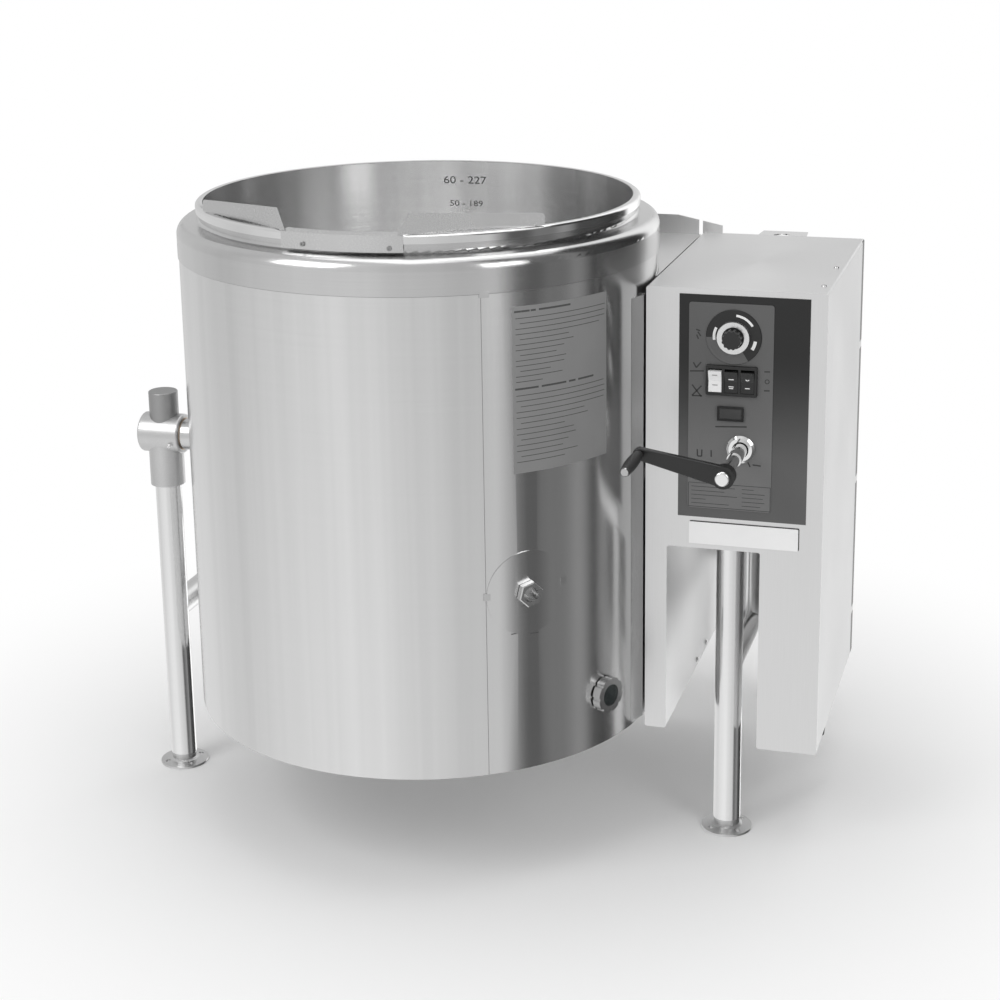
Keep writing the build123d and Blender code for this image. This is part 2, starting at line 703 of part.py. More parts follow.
# The worm runs between two cheeks that hang from a bridge on the bearing block.
bridge_left = crank_across - 30.0
bridge_right = crank_across + 30.0
bridge_low = worm_height + worm_tip + 5.0
bridge_high = bridge_low + 10.0
cheek_low = worm_height - 15.0
with BuildPart() as worm_bracket:
    bridge_plane = Plane((axis_x, axis_y, bridge_low))
    with BuildSketch(bridge_plane):
        with Locations(((bridge_left + bridge_right) / 2, -(cheek_front + cheek_back) / 2)):
            Rectangle(bridge_right - bridge_left, cheek_front - cheek_back)
    extrude(amount=bridge_high - bridge_low)
    for cheek_at in (cheek_front, cheek_back + cheek_thick):
        with BuildSketch(Plane((axis_x, axis_y - cheek_at, 0), x_dir=(-1, 0, 0), z_dir=(0, 1, 0))):
            with Locations((-crank_across, (cheek_low + bridge_low) / 2)):
                Rectangle(bridge_right - bridge_left - 20.0, bridge_low - cheek_low)
        extrude(amount=cheek_thick)
    with BuildSketch(Plane((axis_x, axis_y, block_top - 15.0))):
        with Locations((block_left + 9.0, -pivot_forward)):
            Rectangle(14.0, 60.0)
    extrude(amount=bridge_high - block_top + 15.0)
    with BuildSketch(Plane((axis_x, axis_y, bridge_low))):
        with Locations(((block_left + bridge_left) / 2 + 4.0, -pivot_forward)):
            Rectangle(bridge_left - block_left + 10.0, 60.0)
    extrude(amount=bridge_high - bridge_low)
    with BuildSketch(crank_plane.offset(-console_front - worm_half)):
        Circle(crank_shaft_radius + running_gap)
    extrude(amount=console_front + worm_half, mode=Mode.SUBTRACT)
    with BuildSketch(block_plane.offset(-5.0)):
        Circle(block_radius + seat)
    extrude(amount=block_width + 10.0, mode=Mode.SUBTRACT)
save(worm_bracket, "worm_bracket")

# ---- console ----------------------------------------------------------------------
# The folded case, seen from the front: a skirt beside the drum, a column at the right.
case_inset = [0.0, sheet, sheet + 0.3]
case_outline, case_cavity, cover_outline = [
    [
        (console_left + inset, skirt_bottom + inset), (skirt_right - inset, skirt_bottom + inset),
        (skirt_right - inset, console_underside + inset), (column_left + inset, console_underside + inset),
        (column_left + inset, column_bottom + inset), (console_right - inset, column_bottom + inset),
        (console_right - inset, console_top - inset), (console_left + inset, console_top - inset),
    ]
    for inset in case_inset
]
upstand_slope = (upstand_high - upstand_low) / upstand_chamfer


def upstand_at(across):
    """Height of the upstand's sloping top at a place across the machine."""
    return shroud_top + min(upstand_high, upstand_low + upstand_slope * (skirt_right - across))


console_depth = console_back + console_front
thermostat_hole = knob_stem_radius + 3.0
switch_hole_width = 3 * rocker_pitch
switch_hole_tall = rocker_tall + 4.0
lamp_hole_width = lamp_width - 8.0
lamp_hole_tall = lamp_tall - 8.0


def panel_holes(margin):
    """Cut the openings that the controls pass through, in a sketch on the panel."""
    with Locations((dial_across, dial_height)):
        Circle(thermostat_hole + margin, mode=Mode.SUBTRACT)
    with Locations((switch_across, switch_height)):
        Rectangle(switch_hole_width + 2 * margin, switch_hole_tall + 2 * margin, mode=Mode.SUBTRACT)
    with Locations((lamp_across, lamp_height)):
        Rectangle(lamp_hole_width + 2 * margin, lamp_hole_tall + 2 * margin, mode=Mode.SUBTRACT)
    with Locations((crank_across, worm_height)):
        Circle(collar_step + margin, mode=Mode.SUBTRACT)


with BuildPart() as console_case:
    with BuildSketch(panel_plane):
        Polygon(*case_outline, align=None)
    extrude(amount=-console_depth)
    fillet(console_case.edges().filter_by(Axis.Y), radius=bend_radius)
    with BuildSketch(panel_plane.offset(-sheet)):
        Polygon(*case_cavity, align=None)
    extrude(amount=-console_depth, mode=Mode.SUBTRACT)
    with BuildSketch(panel_plane.offset(1.0)):
        with Locations((dial_across, dial_height)):
            Circle(thermostat_hole + 1.0)
        with Locations((switch_across, switch_height)):
            Rectangle(switch_hole_width + 2.0, switch_hole_tall + 2.0)
        with Locations((lamp_across, lamp_height)):
            Rectangle(lamp_hole_width + 2.0, lamp_hole_tall + 2.0)
        with Locations((crank_across, worm_height)):
            Circle(collar_step + 1.0)
    extrude(amount=-2.0 - sheet, mode=Mode.SUBTRACT)
    with BuildSketch(Plane((axis_x + console_left - 1.0, pivot_y, pivot_height), z_dir=(1, 0, 0))):
        Circle(trunnion_collar + 4.0)
    extrude(amount=sheet + 2.0, mode=Mode.SUBTRACT)
    with BuildSketch(Plane((right_leg_x, pivot_y, console_underside - 1.0))):
        Circle(tube_radius + clear)
    extrude(amount=sheet + 2.0, mode=Mode.SUBTRACT)
    with BuildSketch(Plane((axis_x + gland_across, axis_y + gland_back, column_bottom - 1.0))):
        Circle(gland_radius - 3.0 + seat)
    extrude(amount=sheet + 2.0, mode=Mode.SUBTRACT)
    with BuildSketch(panel_plane.offset(-console_depth)):
        Polygon(
            (console_left, console_top - 1.0), (skirt_right, console_top - 1.0),
            (skirt_right, upstand_at(skirt_right)), (console_left, upstand_at(console_left)), align=None,
        )
    extrude(amount=sheet)
save(console_case, "console_case")

# The rear cover is a tray that closes the open back of the console.
with BuildPart() as rear_cover:
    with BuildSketch(panel_plane.offset(-console_depth)):
        Polygon(*cover_outline, align=None)
    extrude(amount=14.0)
    with BuildSketch(panel_plane.offset(-console_depth + sheet)):
        Polygon(*cover_outline, align=None)
        offset(amount=-1.5, kind=Kind.INTERSECTION, mode=Mode.REPLACE)
    extrude(amount=14.0, mode=Mode.SUBTRACT)
save(rear_cover, "console_rear_cover")

with BuildPart() as faucet_bracket:
    bracket_high = console_top - 12.0
    bracket_low = bracket_high - 38.0
    bracket_end = console_back + bracket_depth
    with BuildSketch(Plane((axis_x, axis_y, bracket_high - sheet))):
        with BuildLine():
            Polyline(
                (bracket_across - bracket_width / 2, console_back),
                (bracket_across + bracket_width / 2, console_back),
                (bracket_across + bracket_width / 2 - 8.0, bracket_end),
                (bracket_across - bracket_width / 2 + 8.0, bracket_end),
                (bracket_across - bracket_width / 2, console_back),
            )
        make_face()
        with Locations((bracket_across, console_back + bracket_depth * 0.58)):
            Circle(bracket_hole, mode=Mode.SUBTRACT)
    extrude(amount=sheet)
    with BuildSketch(panel_plane.offset(-console_depth)):
        with Locations((bracket_across, (bracket_high + bracket_low) / 2)):
            Rectangle(bracket_width, bracket_high - bracket_low)
        with Locations((bracket_across - 34.0, bracket_low + 12.0), (bracket_across + 34.0, bracket_low + 12.0)):
            Circle(3.5, mode=Mode.SUBTRACT)
    extrude(amount=-sheet)
    for edge_across in (bracket_across - bracket_width / 2, bracket_across + bracket_width / 2 - sheet):
        with BuildSketch(Plane((axis_x + edge_across, axis_y, 0), x_dir=(0, 1, 0), z_dir=(1, 0, 0))):
            Polygon(
                (console_back, bracket_high), (console_back, bracket_low),
                (console_back + 55.0, bracket_high), align=None,
            )
        extrude(amount=sheet)
save(faucet_bracket, "faucet_bracket")

with BuildPart() as gland:
    gland_base = Plane((axis_x + gland_across, axis_y + gland_back, column_bottom))
    with BuildSketch(gland_base.offset(-gland_drop * 0.35)):
        RegularPolygon(radius=gland_radius, side_count=6)
    extrude(amount=gland_drop * 0.35)
    with BuildSketch(gland_base.offset(-gland_drop)):
        Circle(gland_radius - 3.5)
    extrude(amount=gland_drop * 0.65, taper=-6)
    fillet(gland.edges().group_by(Axis.Z)[0], radius=2.0)
    with BuildSketch(gland_base):
        Circle(gland_radius - 3.2)
    extrude(amount=12.0)
    with BuildSketch(gland_base.offset(-gland_drop)):
        Circle(5.5)
    extrude(amount=gland_drop + 12.0, mode=Mode.SUBTRACT)
    with BuildSketch(gland_base.offset(sheet)):
        RegularPolygon(radius=gland_radius, side_count=6)
        Circle(gland_radius - 3.0, mode=Mode.SUBTRACT)
    extrude(amount=5.0)
save(gland, "cable_gland")

# ---- control panel ----------------------------------------------------------------
with BuildPart() as overlay:
    with BuildSketch(panel_plane):
        with Locations(((overlay_left + overlay_right) / 2, (overlay_bottom + overlay_top) / 2)):
            Rectangle(overlay_right - overlay_left, overlay_top - overlay_bottom)
        panel_holes(0.5)
    extrude(amount=overlay_thick)
save(overlay, "control_panel")

with BuildPart() as faceplate:
    with BuildSketch(panel_plane.offset(overlay_thick)):
        with Locations(((faceplate_left + faceplate_right) / 2, (faceplate_bottom + faceplate_top) / 2)):
            RectangleRounded(faceplate_right - faceplate_left, faceplate_top - faceplate_bottom, 5.0)
        panel_holes(0)
    extrude(amount=faceplate_thick)
save(faceplate, "control_faceplate")

face = overlay_thick + faceplate_thick
dial_plane = Plane((axis_x + dial_across, front_y, dial_height), x_dir=(1, 0, 0), z_dir=(0, -1, 0))
with BuildPart() as dial_ring:
    with BuildSketch(dial_plane.offset(face)):
        Circle(dial_radius)
        Circle(thermostat_hole, mode=Mode.SUBTRACT)
    extrude(amount=dial_thick)
    chamfer(dial_ring.edges().group_by(Axis.Y)[0].sort_by(SortBy.RADIUS)[-1], length=0.8)
save(dial_ring, "dial_plate")

with BuildPart() as knob:
    knob_back = face + dial_thick + 0.6
    with BuildSketch(dial_plane.offset(knob_back)):
        Circle(knob_radius)
    extrude(amount=knob_skirt_depth, taper=14)
    with BuildSketch(dial_plane.offset(knob_back + knob_skirt_depth)):
        Circle(knob_grip_radius)
        with PolarLocations(knob_grip_radius + 1.0, 12):
            Circle(2.6, mode=Mode.SUBTRACT)
    extrude(amount=knob_grip_depth, taper=3)
    with BuildSketch(dial_plane.offset(knob_back)):
        Circle(knob_stem_radius)
    extrude(amount=-knob_back - 22.0)
save(knob, "thermostat_knob")

with BuildPart() as thermostat:
    with BuildSketch(dial_plane.offset(-sheet)):
        RectangleRounded(44.0, 44.0, 4.0)
        Circle(knob_stem_radius + running_gap, mode=Mode.SUBTRACT)
    extrude(amount=-30.0)
save(thermostat, "thermostat_body")

switch_plane = Plane((axis_x + switch_across, front_y, switch_height), x_dir=(1, 0, 0), z_dir=(0, -1, 0))
well_depth = 16.0
with BuildPart() as switch_frame:
    with BuildSketch(switch_plane.offset(face)):
        RectangleRounded(switch_width, switch_tall, 3.0)
    extrude(amount=switch_proud)
    fillet(switch_frame.edges().group_by(Axis.Y)[0], radius=1.5)
    with BuildSketch(switch_plane.offset(face)):
        Rectangle(switch_hole_width - 0.6, switch_hole_tall - 0.6)
    extrude(amount=-face - well_depth)
    with BuildSketch(switch_plane.offset(face + switch_proud)):
        with GridLocations(rocker_pitch, 1, 3, 1):
            Rectangle(rocker_width + 2 * rocker_gap, rocker_tall + 2 * rocker_gap)
    extrude(amount=-face - switch_proud - well_depth + 2.0, mode=Mode.SUBTRACT)
save(switch_frame, "switch_frame")

# Each rocker is a shallow V on a hinge line inside its well, with one end pressed in.
rocker_hinge = face + switch_proud - 6.0
rocker_edge = 7.0
rocker_names = ("power_rocker", "heat_rocker", "fill_rocker")
for place, rocker_name in enumerate(rocker_names):
    rocker_x = axis_x + switch_across + (place - 1) * rocker_pitch
    rocker_plane = Plane((rocker_x - rocker_width / 2, front_y - rocker_hinge, switch_height),
                         x_dir=(0, -1, 0), z_dir=(1, 0, 0))
    half_tall = rocker_tall / 2 - 1.4
    with BuildPart() as rocker:
        with BuildSketch(rocker_plane):
            Polygon(
                (5.0, 0), (rocker_edge + 2.0, half_tall), (-1.0, half_tall - 1.0), (-5.0, 4.0),
                (-5.0, -4.0), (-1.0, -half_tall + 1.0), (rocker_edge + 2.0, -half_tall),
                rotation=rocker_tilt, align=None,
            )
        extrude(amount=rocker_width)
    save(rocker, rocker_name)

lamp_plane = Plane((axis_x + lamp_across, front_y, lamp_height), x_dir=(1, 0, 0), z_dir=(0, -1, 0))
with BuildPart() as lamp:
    with BuildSketch(lamp_plane.offset(face)):
        RectangleRounded(lamp_width, lamp_tall, 2.0)
    extrude(amount=lamp_proud)
    fillet(lamp.edges().group_by(Axis.Y)[0], radius=1.2)
    with BuildSketch(lamp_plane.offset(face)):
        Rectangle(lamp_hole_width - 0.4, lamp_hole_tall - 0.4)
    extrude(amount=-face - 18.0)
save(lamp, "indicator_lamp")

# ---- drum -------------------------------------------------------------------------
band_outer = drum_radius + band_proud
shoulder_start = seam_height + band_height
collar_top = rim_height - rim_depth
wool_outer = drum_inner - seat
wool_inner = jacket_outer + 3 * seat
wool_top = seam_height - 4.0
nipple_radius = 8.0
relief_plane = radial_plane(relief_angle, relief_height)
pressure_plane = radial_plane(pressure_angle, pressure_height)
port_plane = radial_plane(port_angle, port_height)
glass_plane = radial_plane(gauge_glass_angle, gauge_glass_height)
port_tube = port_bore + 4.0
glass_tube = gauge_glass_bore + 4.0


# what passes through the drum's side, from the axis outwards
drum_openings = [
    (relief_plane, nipple_radius), (pressure_plane, nipple_radius),
    (port_plane, port_tube), (glass_plane, glass_tube),
]
wool_openings = drum_openings + [
    (Plane((axis_x, axis_y + spot_y, heater_height), z_dir=(1, 0, 0)), heater_plug_radius)
    for _, spot_y in heater_spots
]

with BuildPart() as wool:
    with BuildSketch(kettle_section):
        with Locations((wool_inner, drum_bottom + sheet + 0.3)):
            Rectangle(wool_outer - wool_inner, wool_top - drum_bottom - sheet - 0.3,
                      align=(Align.MIN, Align.MIN))
    revolve(axis=kettle_axis)
    with BuildSketch(Plane(pivot_section.origin, x_dir=(0, 1, 0), z_dir=(1, 0, 0))):
        Circle(pad_radius + clear)
    extrude(amount=drum_radius + 20.0, both=True, mode=Mode.SUBTRACT)
    for opening_plane, opening_radius in wool_openings:
        with BuildSketch(opening_plane):
            Circle(opening_radius + clear)
        extrude(amount=drum_radius + 20.0, mode=Mode.SUBTRACT)
save(wool, "insulation")

with BuildPart() as drum:
    with BuildSketch(kettle_section):
        with Locations((drum_inner, drum_bottom)):
            Rectangle(drum_wall, seam_height - drum_bottom, align=(Align.MIN, Align.MIN))
    revolve(axis=kettle_axis)
    with BuildSketch(Plane(pivot_section.origin, x_dir=(0, 1, 0), z_dir=(1, 0, 0))):
        Circle(trunnion_collar + clear)
    extrude(amount=drum_radius + 20.0, both=True, mode=Mode.SUBTRACT)
    for opening_plane, opening_radius in drum_openings:
        with BuildSketch(opening_plane):
            Circle(opening_radius + clear)
        extrude(amount=drum_radius + 20.0, mode=Mode.SUBTRACT)
save(drum, "drum_wrapper")

# The top band lies over the wrapper's edge, turns in at the shoulder and ends in a collar.
shoulder_turn = 72.0
round_centre = (band_outer - shoulder_round, shoulder_start)
shoulder_end_z = shoulder_start + shoulder_round * sin(radians(shoulder_turn))
cove_x = collar_radius + 6.0
cove_z = shoulder_end_z + 2.0
cove_top = cove_z + 6.0
with BuildPart() as shoulder:
    with BuildSketch(kettle_section):
        with BuildLine():
            Line((band_outer, seam_height - 6.0), (band_outer, shoulder_start))
            outer_round = CenterArc(round_centre, shoulder_round, 0, shoulder_turn)
            Line(outer_round @ 1, (cove_x, cove_z))
            ThreePointArc((cove_x, cove_z), (collar_radius + 1.6, cove_z + 1.8), (collar_radius, cove_top))
            Line((collar_radius, cove_top), (collar_radius, collar_top))
            Line((collar_radius, collar_top), (collar_radius - drum_wall, collar_top))
            Line((collar_radius - drum_wall, collar_top), (collar_radius - drum_wall, cove_z - drum_wall))
            Line((collar_radius - drum_wall, cove_z - drum_wall), (cove_x, cove_z - drum_wall))
            inner_round = CenterArc(round_centre, shoulder_round - drum_wall, 0, shoulder_turn)
            Line((cove_x, cove_z - drum_wall), inner_round @ 1)
            Line((band_outer - drum_wall, shoulder_start), (band_outer - drum_wall, seam_height - 6.0))
            Line((band_outer - drum_wall, seam_height - 6.0), (band_outer, seam_height - 6.0))
        make_face()
    revolve(axis=kettle_axis)
    with BuildSketch(kettle_section):
        with Locations((bowl_outer + seat, collar_top - 6.0)):
            Rectangle(collar_radius - bowl_outer - seat, drum_wall, align=(Align.MIN, Align.MIN))
    revolve(axis=kettle_axis)
save(shoulder, "shoulder_band")

with BuildPart() as bottom_cover:
    with BuildSketch(kettle_section):
        with BuildLine():
            Polyline(
                (0, drum_bottom), (drum_inner - seat, drum_bottom), (drum_inner - seat, drum_bottom + sheet),
                (0, drum_bottom + sheet), (0, drum_bottom),
            )
        make_face()
    revolve(axis=kettle_axis)
    with BuildSketch(kettle_floor.offset(drum_bottom + sheet)):
        with PolarLocations(jacket_outer * 0.72, 3, start_angle=90):
            Circle(14.0)
            Circle(11.0, mode=Mode.SUBTRACT)
    extrude(amount=jacket_floor - drum_bottom - bottom_leg_gap)
save(bottom_cover, "bottom_cover")

# ---- shroud -----------------------------------------------------------------------
shroud_outline = [
    (shroud_back_start, shroud_front), (shroud_right, shroud_front),
    (shroud_right, console_back), (shroud_back_start, console_back),
]
with BuildPart() as shroud:
    with BuildSketch(kettle_floor.offset(shroud_bottom)):
        Polygon(*shroud_outline, align=None)
    extrude(amount=shroud_top - shroud_bottom)
    fillet(shroud.edges().filter_by(Axis.Z).group_by(Axis.Y)[-1].sort_by(Axis.X)[-1:], radius=bend_radius)
    with BuildSketch(kettle_floor.offset(shroud_bottom + sheet)):
        Polygon(
            (shroud_back_start - 10.0, 0), (shroud_right - sheet, 0),
            (shroud_right - sheet, console_back - sheet), (shroud_back_start - 10.0, console_back - sheet),
            align=None,
        )
    extrude(amount=shroud_top - shroud_bottom - 2 * sheet, mode=Mode.SUBTRACT)
    with BuildSketch(Plane((axis_x, back_y, 0), x_dir=(-1, 0, 0), z_dir=(0, 1, 0))):
        Polygon(
            (-shroud_right + bend_radius, shroud_top - 1.0),
            (-shroud_right + bend_radius, upstand_at(shroud_right - bend_radius)),
            (-skirt_right + upstand_chamfer, shroud_top + upstand_high),
            (-shroud_back_start, shroud_top + upstand_high), (-shroud_back_start, shroud_top - 1.0), align=None,
        )
    extrude(amount=-sheet)
    with BuildSketch(kettle_floor):
        Circle(drum_radius + 0.3)
    extrude(amount=rim_height, mode=Mode.SUBTRACT)
save(shroud, "side_shroud")

# A slim wedge down the drum closes the gap between its curve and the console's flat side.
strip_turn = radians(edge_strip_angle)
with BuildPart() as edge_strip:
    with BuildSketch(kettle_floor.offset(edge_strip_bottom)):
        Polygon(
            (drum_radius * cos(strip_turn), drum_radius * sin(strip_turn)), (shroud_right, edge_strip_front),
            (shroud_right, edge_strip_back), (drum_radius - 20.0, edge_strip_back), align=None,
        )
    extrude(amount=edge_strip_top - edge_strip_bottom)
    fillet(edge_strip.edges().filter_by(Axis.Z).sort_by(Axis.Y)[1:2], radius=edge_strip_round / 2)
    with BuildSketch(kettle_floor):
        Circle(drum_radius + seat)
    extrude(amount=rim_height, mode=Mode.SUBTRACT)
save(edge_strip, "drum_edge_strip")

# ---- jacket port and its cover plate ----------------------------------------------
with BuildPart() as port_plate:
    with BuildSketch(port_plane.offset(drum_radius - 60.0)):
        Circle(port_plate_radius)
        Circle(port_tube + clear, mode=Mode.SUBTRACT)
    extrude(amount=80.0)
    with BuildSketch(kettle_floor.offset(port_height - 2 * port_plate_radius)):
        Circle(drum_radius + seat + port_plate_thick)
    extrude(amount=4 * port_plate_radius, mode=Mode.INTERSECT)
    with BuildSketch(kettle_floor.offset(port_height - 2 * port_plate_radius)):
        Circle(drum_radius + seat)
    extrude(amount=4 * port_plate_radius, mode=Mode.SUBTRACT)
save(port_plate, "port_cover_plate")

with BuildPart() as port:
    port_seat = drum_radius + port_plate_thick + 1.0
    with BuildSketch(port_plane.offset(jacket_inner - 20.0)):
        Circle(port_tube)
    extrude(amount=port_seat - jacket_inner + 20.0)
    with BuildSketch(port_plane.offset(port_seat)):
        RegularPolygon(radius=port_across_flats / 2, side_count=6, major_radius=False, rotation=15)
    extrude(amount=port_depth)
    hex_rim = port.edges().filter_by(
        lambda e: abs(port_plane.to_local_coords(e.center()).Z - port_seat - port_depth) < 0.01)
    chamfer(hex_rim, length=1.5)
    with BuildSketch(port_plane.offset(port_seat + port_depth)):
        Circle(port_bore)
    extrude(amount=-port_depth - 20.0, mode=Mode.SUBTRACT)
    with BuildSketch(kettle_floor.offset(port_height - port_plate_radius)):
        Circle(jacket_outer + seat)
    extrude(amount=2 * port_plate_radius, mode=Mode.SUBTRACT)
save(port, "jacket_port")

# ---- water level glass ------------------------------------------------------------
glass_seat = drum_radius + 1.5
with BuildPart() as glass_body:
    with BuildSketch(glass_plane.offset(jacket_inner - 20.0)):
        Circle(glass_tube)
    extrude(amount=glass_seat - jacket_inner + 20.0)
    with BuildSketch(glass_plane.offset(glass_seat)):
        Circle(gauge_glass_radius)
        with PolarLocations(gauge_glass_radius, 8):
            Circle(3.0, mode=Mode.SUBTRACT)
    extrude(amount=gauge_glass_depth)
    with BuildSketch(glass_plane.offset(glass_seat + gauge_glass_depth - glass_thick - 2.0)):
        Circle(gauge_glass_bore + 2.0)
    extrude(amount=glass_thick, mode=Mode.SUBTRACT)
    with BuildSketch(glass_plane.offset(jacket_inner)):
        Circle(gauge_glass_bore)
    extrude(amount=glass_seat + gauge_glass_depth - jacket_inner, mode=Mode.SUBTRACT)
    with BuildSketch(kettle_floor.offset(gauge_glass_height - 2 * gauge_glass_radius)):
        Circle(jacket_outer + seat)
    extrude(amount=4 * gauge_glass_radius, mode=Mode.SUBTRACT)
save(glass_body, "sight_glass_body")

with BuildPart() as lens:
    with BuildSketch(glass_plane.offset(glass_seat + gauge_glass_depth - glass_thick - 2.0)):
        Circle(gauge_glass_bore + 2.0 - seat)
    extrude(amount=glass_thick - 0.2)
save(lens, "sight_glass_lens")

# ---- relief valve and pressure gauge at the back ----------------------------------
relief_reach = drum_radius + 34.0
relief_out = (cos(radians(relief_angle)), sin(radians(relief_angle)))
relief_x = axis_x + relief_reach * relief_out[0]
relief_y = axis_y + relief_reach * relief_out[1]
relief_body_low = relief_height - 16.0
relief_body_high = relief_height + 58.0
relief_stem = relief_reach - jacket_outer - seat
with BuildPart() as relief_valve:
    with BuildSketch(relief_plane.offset(jacket_outer + seat)):
        Circle(nipple_radius)
    extrude(amount=relief_stem)
    with BuildSketch(Plane((relief_x, relief_y, 0), x_dir=(relief_out[0], relief_out[1], 0),
                           z_dir=(relief_out[1], -relief_out[0], 0))):
        with BuildLine():
            Polyline(
                (0, relief_body_low), (12.0, relief_body_low), (14.0, relief_body_low + 2.0),
                (14.0, relief_height + 14.0), (17.0, relief_height + 16.0), (17.0, relief_height + 28.0),
                (12.0, relief_height + 31.0), (11.0, relief_body_high - 4.0), (8.0, relief_body_high),
                (0, relief_body_high), (0, relief_body_low),
            )
        make_face()
    revolve(axis=Axis((relief_x, relief_y, 0), (0, 0, 1)))
    with BuildSketch(Plane((relief_x, relief_y, relief_height + 22.0), x_dir=(0, 0, 1),
                           z_dir=(-relief_out[1], relief_out[0], 0))):
        Circle(outlet_radius)
    extrude(amount=32.0)
    ear_plane = Plane((relief_x, relief_y, relief_body_high - 6.0), x_dir=(relief_out[0], relief_out[1], 0))
    with BuildSketch(ear_plane):
        with Locations((0, 6.5), (0, -6.5)):
            Rectangle(12.0, 3.0)
    extrude(amount=24.0)
save(relief_valve, "relief_valve")

lever_pin_height = relief_body_high + 11.0
lever_plane = Plane((relief_x, relief_y, lever_pin_height), x_dir=(relief_out[0], relief_out[1], 0),
                    z_dir=(relief_out[1], -relief_out[0], 0))
with BuildPart() as relief_lever:
    with BuildSketch(lever_plane):
        Circle(5.5)
        with Locations((-2.0, 4.0)):
            Rectangle(34.0, 4.0, align=(Align.MIN, Align.CENTER))
    extrude(amount=4.5, both=True)
    with BuildSketch(Plane(lever_plane.origin, x_dir=lever_plane.x_dir)):
        with Locations((32.0, 0)):
            Circle(9.0)
    extrude(amount=6.0)
    with BuildSketch(Plane(lever_plane.origin, x_dir=lever_plane.x_dir)):
        with Locations((32.0, 0)):
            Circle(4.5)
    extrude(amount=8.0, mode=Mode.SUBTRACT)
save(relief_lever, "relief_lever")

gauge_seat = drum_radius + 8.0
with BuildPart() as pressure_gauge:
    with BuildSketch(pressure_plane.offset(jacket_outer - 12.0)):
        Circle(nipple_radius)
    extrude(amount=gauge_seat - jacket_outer + 12.0)
    with BuildSketch(pressure_plane.offset(gauge_seat)):
        Circle(pressure_radius)
    extrude(amount=pressure_depth)
    front_ring = pressure_gauge.edges().filter_by(GeomType.CIRCLE).filter_by(
        lambda e: abs(pressure_plane.to_local_coords(e.center()).Z - gauge_seat - pressure_depth) < 0.01)
    fillet(front_ring, radius=3.0)
    with BuildSketch(pressure_plane.offset(gauge_seat + pressure_depth - 4.0)):
        Circle(pressure_radius - 5.0)
    extrude(amount=5.0, mode=Mode.SUBTRACT)
    with BuildSketch(kettle_floor.offset(pressure_height - 40.0)):
        Circle(jacket_outer + seat)
    extrude(amount=80.0, mode=Mode.SUBTRACT)
save(pressure_gauge, "pressure_gauge")

# ---- pour lip ---------------------------------------------------------------------
# A folded sheet: a saddle over the rim with a skirt in front, and two upright wings
# that run straight from its ends back to the rim.
lip_top = rim_height + lip_sheet + 0.2
saddle_inner = bowl_radius - 5.0
skirt_radius = bowl_radius + rim_width + 0.4
half_angle = degrees(asin(lip_half_width / skirt_radius))
corner = (lip_half_width, -sqrt(skirt_radius ** 2 - lip_half_width ** 2))
wing_radius = bowl_radius + rim_width - 2.5
wing_end = (wing_radius * sin(radians(lip_wing_angle)), -wing_radius * cos(radians(lip_wing_angle)))
wing_tab = 2.2                 # folded on to the skirt
wing_tab_drop = 5.0
wing_run = hypot(wing_end[0] - corner[0], wing_end[1] - corner[1])
saddle_angle = half_angle + 1.0
saddle_side = radians(saddle_angle)
lip_section = Plane((axis_x, axis_y, 0), x_dir=(sin(saddle_side), -cos(saddle_side), 0),
                    z_dir=(-cos(saddle_side), -sin(saddle_side), 0))

with BuildPart() as pour_lip:
    with BuildSketch(lip_section):
        with BuildLine():
            Polyline(
                (saddle_inner, lip_top - lip_sheet), (bowl_radius + rim_width * 0.5, lip_top - lip_sheet),
                (skirt_radius, lip_top - lip_sheet - 3.0),
                (skirt_radius, rim_height - lip_skirt), (skirt_radius + lip_sheet, rim_height - lip_skirt),
                (skirt_radius + lip_sheet, lip_top - 2.4), (saddle_inner, lip_top), (saddle_inner, lip_top - lip_sheet),
            )
        make_face()
    revolve(axis=kettle_axis, revolution_arc=-2 * saddle_angle)
    for side in (1, -1):
        along = ((wing_end[0] - corner[0]) / wing_run * side, (wing_end[1] - corner[1]) / wing_run)
        wing_plane = Plane((axis_x + corner[0] * side, axis_y + corner[1], lip_top - lip_sheet),
                           x_dir=(along[0], along[1], 0), z_dir=(along[1], -along[0], 0))
        with BuildSketch(wing_plane):
            Polygon(
                (-wing_tab, -wing_tab_drop), (0, -wing_tab_drop), (0, 0), (wing_run, 0),
                (wing_run, lip_back_height - 4.0), (wing_run - 4.0, lip_back_height),
                (lip_lean, lip_front_height), (-wing_tab, 1.0), align=None,
            )
        extrude(amount=lip_sheet / 2, both=True)
save(pour_lip, "pour_lip")
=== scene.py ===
from math import atan2, cos, hypot, pi, radians, sin
import bmesh
import bpy
from mathutils import Matrix, Vector


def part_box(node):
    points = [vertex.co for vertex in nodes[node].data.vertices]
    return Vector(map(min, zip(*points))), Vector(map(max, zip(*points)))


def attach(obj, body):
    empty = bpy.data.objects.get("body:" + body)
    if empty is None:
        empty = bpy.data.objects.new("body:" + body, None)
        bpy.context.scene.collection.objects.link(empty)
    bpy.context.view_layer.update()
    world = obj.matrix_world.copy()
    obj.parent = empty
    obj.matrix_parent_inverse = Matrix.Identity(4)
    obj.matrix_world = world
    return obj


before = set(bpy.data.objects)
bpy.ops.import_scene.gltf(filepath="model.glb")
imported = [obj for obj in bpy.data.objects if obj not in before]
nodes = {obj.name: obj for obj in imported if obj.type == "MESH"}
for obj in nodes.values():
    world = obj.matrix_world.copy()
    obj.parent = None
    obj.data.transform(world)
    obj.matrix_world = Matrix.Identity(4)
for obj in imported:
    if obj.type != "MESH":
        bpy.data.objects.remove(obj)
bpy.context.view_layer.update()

mm = 0.001
scene = bpy.context.scene


# places read from the solids, in mm

def boxOf(node):
    low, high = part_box(node)
    return low / mm, high / mm


